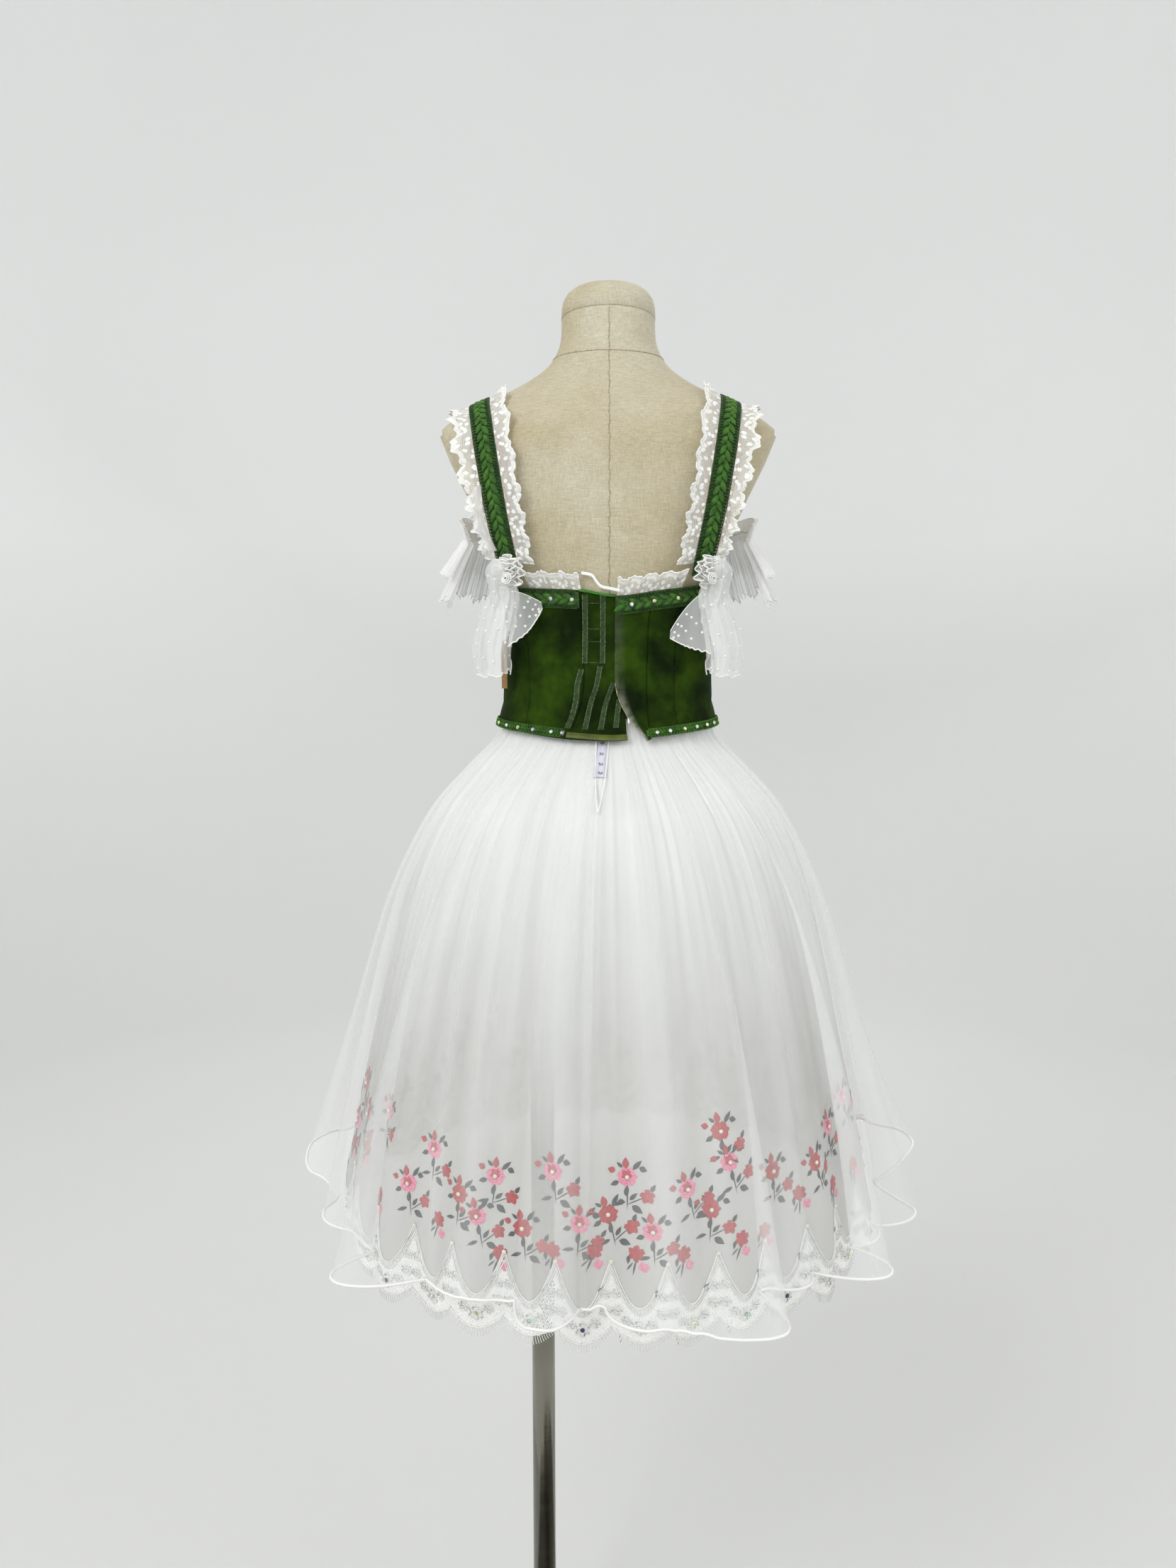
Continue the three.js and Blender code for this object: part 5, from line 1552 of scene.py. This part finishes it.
def petticoat_point(az, s):
    inset = SINK["petticoat"] + SINK["petticoat_low"] * smoothstep(s, 0, 0.6)
    points = skirt_point(az, s, PETTICOAT_FOLDS, inset)
    return points + outward(az) * gathers(az, s, 60, 4, 5)[..., None]


BORDER = {"repeats": 32, "point": 0.925, "dip": 1.01, "notch": 1.045, "foot": 1.07}


def scallop(az):
    return np.abs(np.sin(np.radians(az) * BORDER["repeats"] / 2))


def border_top(az):
    return mix(BORDER["point"], BORDER["dip"], scallop(az))


def border_foot(az):
    return mix(BORDER["notch"], BORDER["foot"], scallop(az))


SLIT = {"az": -4.3, "half": 5.2, "foot": 0.155, "reach": 26}


def parted(az, s):
    """Pushes the overskirt's points aside at the centre back opening."""
    gap = wrap(az - SLIT["az"])
    open_by = SLIT["half"] * np.clip(1 - s / SLIT["foot"], 0, 1) ** 0.8
    return az + np.where(gap >= 0, 1, -1) * open_by * np.clip(1 - np.abs(gap) / SLIT["reach"], 0, 1)


def make_overskirt():
    around = SLIT["az"] + np.concatenate([[1e-4], np.linspace(0, 360, 841)[1:-1], [360 - 1e-4]])
    share = np.concatenate([[0, 0.008, 0.016, 0.025, 0.034, 0.042], np.linspace(0.05, 1, 80)])
    a, v = np.meshgrid(around, share)
    hem = read(HEM, "az", "s", wrap(a)) + 0.004 * np.sin(np.radians(a) * 41) + 0.003 * np.sin(np.radians(a) * 67 + 1)
    s = v * hem
    points = over_point(parted(a, s), s)
    over = grid("overskirt_cloth", points)
    weld(over, 3e-5)
    dress_in(over, "organza", "organza", "overskirt")
    rims = Joined().cord(points[-1, :-1], 1.7, 6, closed=True)
    rows = int(np.searchsorted(share, SLIT["foot"])) + 1
    for column in (0, -1):
        rims.cord(points[:rows, column], 0.8, 6)
    dress_in(rims.make("overskirt_hem"), "satin", "organza")


def make_inner_skirts():
    az = np.linspace(-180, 180, 720, endpoint=False)
    a, v = np.meshgrid(az, np.linspace(0, 1, 52))
    net = grid("flower_skirt_net", flower_point(a, v * border_top(a)), closed=True)
    dress_in(net, "net", "flower_net", "flower_skirt")

    az = np.linspace(-180, 180, 420, endpoint=False)
    a, v = np.meshgrid(az, np.linspace(0, 1, 40))
    under = grid("petticoat_cloth", petticoat_point(a, v * 0.7), closed=True)
    dress_in(under, "tulle", "tulle", "petticoat")

    tape_az, half, to = -4.4, 3.2, 0.1
    a, s = np.meshgrid(np.linspace(tape_az - half, tape_az + half, 20), np.linspace(0, to, 50))
    ridge = 0.35 * np.cos((a - tape_az) / half * math.pi * 2.5) ** 4
    outer, inner = flower_point(a, s, SEAM + 1.2 + ridge), flower_point(a, s, SEAM)
    tape = shell("back_tape_cloth", outer, inner)
    dress_in(tape, "tape", "tape", "back_tape")
    hooks = Joined()
    for s in (0.045, 0.062, 0.078, 0.092):
        turn = np.linspace(-2.4, 2.4, 16)
        hooks.cord(flower_point(tape_az + 0.9 * np.sin(turn), s + 0.0016 * np.cos(turn), 2.8), 0.45, 6)
    dress_in(hooks.make("back_tape_hooks"), "steel", "steel")


# The lace border: one motif, repeated round the hem. x runs across it and y is the height.

MOTIF_HALF = 31.2


def motif_top(x, inset=0.0):
    return mix(768, 718, np.abs(np.cos(math.pi * x / (2 * MOTIF_HALF)))) - inset


def motif_foot(x):
    return mix(696, 681, np.cos(math.pi * x / (2 * MOTIF_HALF)))


def blossom(x, y, radius, petals, cords, turn=0.0):
    """A small lace flower: a ring of looped petals round a small ring."""
    a = np.linspace(0, math.tau, petals * 9 + 1)
    reach = radius * (0.62 + 0.38 * np.abs(np.sin(petals * (a + turn) / 2)))
    cords.append((x + reach * np.cos(a), y + reach * np.sin(a), 0.75))
    cords.append((x + radius * 0.3 * np.cos(a[::3]), y + radius * 0.3 * np.sin(a[::3]), 0.7))


def motif_row(x, inset):
    """The height of a row below the motif's top. Rows lie further apart at its sides."""
    return motif_top(x, inset * (1.6 - 0.6 * np.cos(math.pi * x / (2 * MOTIF_HALF))))


def motif_cords():
    """The raised cords of one repeat, as lines of x, y and a thickness."""
    cords = []
    x = np.linspace(-MOTIF_HALF, MOTIF_HALF, 23)
    for inset, thick in ((0, 0.9), (3.2, 0.6), (7.5, 0.55)):
        cords.append((x, motif_row(x, inset), thick))
    for bar in np.linspace(-27, 27, 16):
        ends = np.array([motif_row(bar, 3.2), motif_row(bar, 7.5)])
        cords.append((np.array([bar, bar * 0.985]), ends, 0.45))
    cords.append((x, motif_foot(x) + 0.8 * np.cos(x * 1.4), 0.8))
    blossom(0, 697, 8.2, 6, cords)
    blossom(-14, 703, 5.5, 5, cords, 0.4)
    blossom(14, 703, 5.5, 5, cords, 0.9)
    for way in (-1, 1):
        blossom(way * 25.5, 733, 5.2, 5, cords, 0.2)
        blossom(way * 24.5, 715, 6.2, 5, cords, 0.7)
    for lash in np.linspace(-28, 28, 22):
        slope = math.sin(lash / MOTIF_HALF * 0.9)
        length = 7.5 + 2.5 * math.cos(lash * 0.11)
        foot = float(motif_foot(lash))
        cords.append((np.array([lash, lash + slope * length * 0.5, lash + slope * length]),
                      np.array([foot, foot - 0.55 * length, foot - length * math.cos(slope * 0.6)]), 0.38))
    return cords


def make_border():
    az = np.linspace(-180, 180, BORDER["repeats"] * 24, endpoint=False)
    a, v = np.meshgrid(az, np.linspace(0, 1, 9))
    border = grid("lace_border_cloth", flower_point(a, mix(border_top(a), border_foot(a), v), 0.2), closed=True)
    dress_in(border, "guipure", "lace", "lace_border_left", "lace_border_right")

    per_mm = 360 / BORDER["repeats"] / (2 * MOTIF_HALF)
    cords = Joined()
    for repeat in range(BORDER["repeats"]):
        middle = -180 + 360 / BORDER["repeats"] * (repeat + 0.5)
        for x, y, thick in motif_cords():
            path = on_flower_skirt(middle + np.asarray(x) * per_mm, np.asarray(y), 0.9)
            cords.cord(path, thick * 1.25, 3)
        stone = on_flower_skirt(np.array(middle), np.array(697.0), 1.6)
        add_stone(("clear", "gold", "green", "blue")[repeat % 4], stone, outward(middle), 2.5)
        peak = on_flower_skirt(np.array(middle - MOTIF_HALF * per_mm), np.array(766.0), 1.6)
        add_stone("pearl", peak, outward(middle - MOTIF_HALF * per_mm), 2.5)
    dress_in(cords.make("lace_border_cords"), "lace", "lace")


# Embroidered sprigs on the flowered net

SPRIGS = (
    (-84, 806, "pink"), (-82, 858, "red"), (-59, 868, "pink"), (-47.5, 808, "pink"), (-41.7, 852, "pink"),
    (-33, 818, "red"), (-28.6, 799, "pink"), (-25.2, 842, "pink"), (-18.7, 793, "red"), (-12.4, 855, "pink"),
    (-6.4, 806, "pink"), (-0.6, 814, "red"), (3.4, 851, "pink"), (8.4, 798, "pink"), (16.2, 836, "pink"),
    (21.4, 811, "red"), (26, 857, "pink"), (24.4, 889, "red"), (37.5, 834, "red"), (49.2, 829, "red"),
    (58.4, 851, "pink"), (77.2, 801, "red"), (68, 868, "pink"), (-70, 845, "red"),
)
POSIES = ((-84.2, 780), (-66.3, 812), (-57, 778), (-38.5, 782), (-23.5, 764), (-12, 776), (-3.4, 778), (5.2, 774),
          (14.8, 772), (27.8, 777), (44, 802), (34, 776), (57, 790), (68, 790))
SPRIG_SIZE = 0.88
HIDDEN = {"from": 91, "to": 268, "step": 11.25, "aside": 5.6, "low": 806, "high": 852, "posy": 776}


def petal_fan(cx, cy, radius, petals, lift, turn=0.0, notch=0.25):
    """Points and triangles of a flat blossom with a notched rim."""
    a = np.linspace(0, math.tau, petals * 8, endpoint=False)
    reach = radius * (1 - notch + notch * np.abs(np.sin(petals * (a + turn) / 2)) ** 0.6)
    reach = reach * (1 + 0.06 * np.sin(11 * a + cx))
    rim = np.stack([cx + reach * np.cos(a), cy + reach * np.sin(a), np.full_like(a, 0.15)], -1)
    ring = np.stack([cx + 0.55 * reach * np.cos(a), cy + 0.55 * reach * np.sin(a), np.full_like(a, lift)], -1)
    points = np.concatenate([rim, ring, [[cx, cy, lift * 0.7]]])
    n = len(a)
    i = np.arange(n)
    j = (i + 1) % n
    faces = np.concatenate([np.stack([i, j, n + j], -1), np.stack([i, n + j, n + i], -1),
                            np.stack([n + i, n + j, np.full(n, 2 * n)], -1)])
    return points, faces


def leaf(cx, cy, length, wide, turn, lift=0.7):
    """Points and triangles of a pointed leaf or bud that grows from its foot."""
    t = np.linspace(0, 1, 9)
    half = wide / 2 * np.sin(math.pi * t**0.8)
    rows = ((half, 0.15), (0 * t, lift), (-half, 0.15))
    local = np.concatenate([np.stack([t * length, across, 0 * t + up], -1) for across, up in rows])
    c, s = math.cos(math.radians(turn)), math.sin(math.radians(turn))
    x, y = local[:, 0].copy(), local[:, 1].copy()
    local[:, 0], local[:, 1] = cx + x * c - y * s, cy + x * s + y * c
    n = len(t)
    k = np.arange(n - 1)
    corners = [(row, row + a, row + b) for row in (0, n) for a, b in ((1, n + 1), (n + 1, n))]
    faces = np.concatenate([np.stack([k + corner for corner in three], -1) for three in corners])
    return local, faces


def sprig(kind):
    """One sprig as flat shapes by thread colour, in millimetres round its main blossom."""
    inner, rim = ("rose", "pink") if kind == "pink" else ("red", "red")
    return [
        (rim, *petal_fan(0, 0, 11.5, 7, 0.6, 0.3, 0.22)),
        (inner, *petal_fan(-0.5, 2, 7.4, 5, 1.2, 0.8, 0.3)),
        ("red", *leaf(-2, 9, 13, 8, 96, 0.9)),
        ("red", *leaf(-14, 6, 9, 7.5, 165, 0.9)),
        ("red", *petal_fan(24, -19, 8.5, 5, 0.9, 0.2, 0.45)),
        ("leaf", *leaf(6, 9, 15, 5.5, 52)),
        ("leaf", *leaf(13, 12, 9, 7, -14)),
        ("leaf", *leaf(-9, -6, 10, 6, 205)),
        ("leaf", *leaf(-6, 10, 9, 4, 140)),
        ("leaf", *leaf(0, -22, 13, 5.5, 84)),
        ("leaf", *leaf(5, -26, 12, 5, 50)),
        ("leaf", *leaf(8, -32, 14, 8, -30)),
        ("leaf", *leaf(-2, -29, 14, 4.5, 200)),
        ("leaf", *leaf(27, -13, 10, 5, 62)),
        ("leaf", *leaf(1.5, -10, 28, 1.5, 273, 0.5)),
        ("leaf", *leaf(2, -32, 26, 1.4, 32, 0.5)),
        ("leaf", *leaf(-15, -34, 14, 1.6, 20, 0.5)),
    ]


def posy():
    return [
        ("red", *petal_fan(0, 0, 10, 6, 1.0, 0.1, 0.4)),
        ("pink", *petal_fan(7, -15, 6, 4, 0.7, 0.5, 0.4)),
        ("leaf", *leaf(-9, -2, 10, 4.5, 262)),
        ("leaf", *leaf(-1, -8, 18, 2.2, 254, 0.5)),
        ("leaf", *leaf(-12, -19, 12, 2, 50, 0.5)),
    ]


def make_embroidery():
    parts = {colour: ([], []) for colour in ("rose", "pink", "red", "leaf")}
    counts = dict.fromkeys(parts, 0)
    places = list(SPRIGS)
    wanted = np.arange(HIDDEN["from"], HIDDEN["to"], HIDDEN["step"])
    for k, az in enumerate(wanted):
        low, high = az + 2 * math.sin(3.1 * k), az + HIDDEN["aside"] + 2 * math.sin(1.3 * k)
        places.append((low, HIDDEN["low"] + 6 * math.sin(2.2 * k), ("pink", "red")[k % 2]))
        places.append((high, HIDDEN["high"] + 7 * math.sin(1.7 * k), ("red", "pink", "pink")[k % 3]))
    small = list(POSIES)
    small += [(az + HIDDEN["aside"], HIDDEN["posy"] + 3 * math.sin(k)) for k, az in enumerate(wanted)]
    jobs = [(az, z, sprig(kind), True) for az, z, kind in places] + [(az, z, posy(), False) for az, z in small]
    for number, (az, z, shapes, pearl) in enumerate(jobs):
        middle = on_flower_skirt(np.array(float(az)), np.array(float(z)))
        per_mm = 180 / math.pi / np.hypot(middle[0], middle[1])
        turn = 0.16 * math.sin(number * 2.4)
        for colour, points, faces in shapes:
            x = SPRIG_SIZE * (points[:, 0] * math.cos(turn) - points[:, 1] * math.sin(turn))
            y = SPRIG_SIZE * (points[:, 0] * math.sin(turn) + points[:, 1] * math.cos(turn))
            placed = on_flower_skirt(az + x * per_mm, z + y, points[:, 2] + 0.3)
            parts[colour][0].append(placed)
            parts[colour][1].append(faces + counts[colour])
            counts[colour] += len(placed)
        if pearl:
            add_stone("pearl", on_flower_skirt(np.array(float(az)), np.array(float(z)), 2.0), outward(az), 2.3)
    for colour, (points, faces) in parts.items():
        made = new_mesh(f"embroidery_{colour}", np.concatenate(points), np.concatenate(faces))
        dress_in(made, "thread_" + colour, "thread")


def finish_plain_nodes():
    """Finishes for the CAD nodes whose own shape stays."""
    for name, finish in (("form_arm_plate_left", "linen"), ("form_arm_plate_right", "linen"), ("waistband", "tape")):
        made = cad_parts[name]
        made.data.materials.clear()
        made.data.materials.append(FINISH[finish])


make_stage()
make_stand()
make_form()
make_bodice()
make_lap_edge()
make_placket()
make_white_elastic()
make_braids()
make_straps()
make_top_lace()
make_sleeves()
make_net_band()
make_nude_elastic()
make_overskirt()
make_inner_skirts()
make_border()
make_embroidery()
make_stones()
finish_plain_nodes()
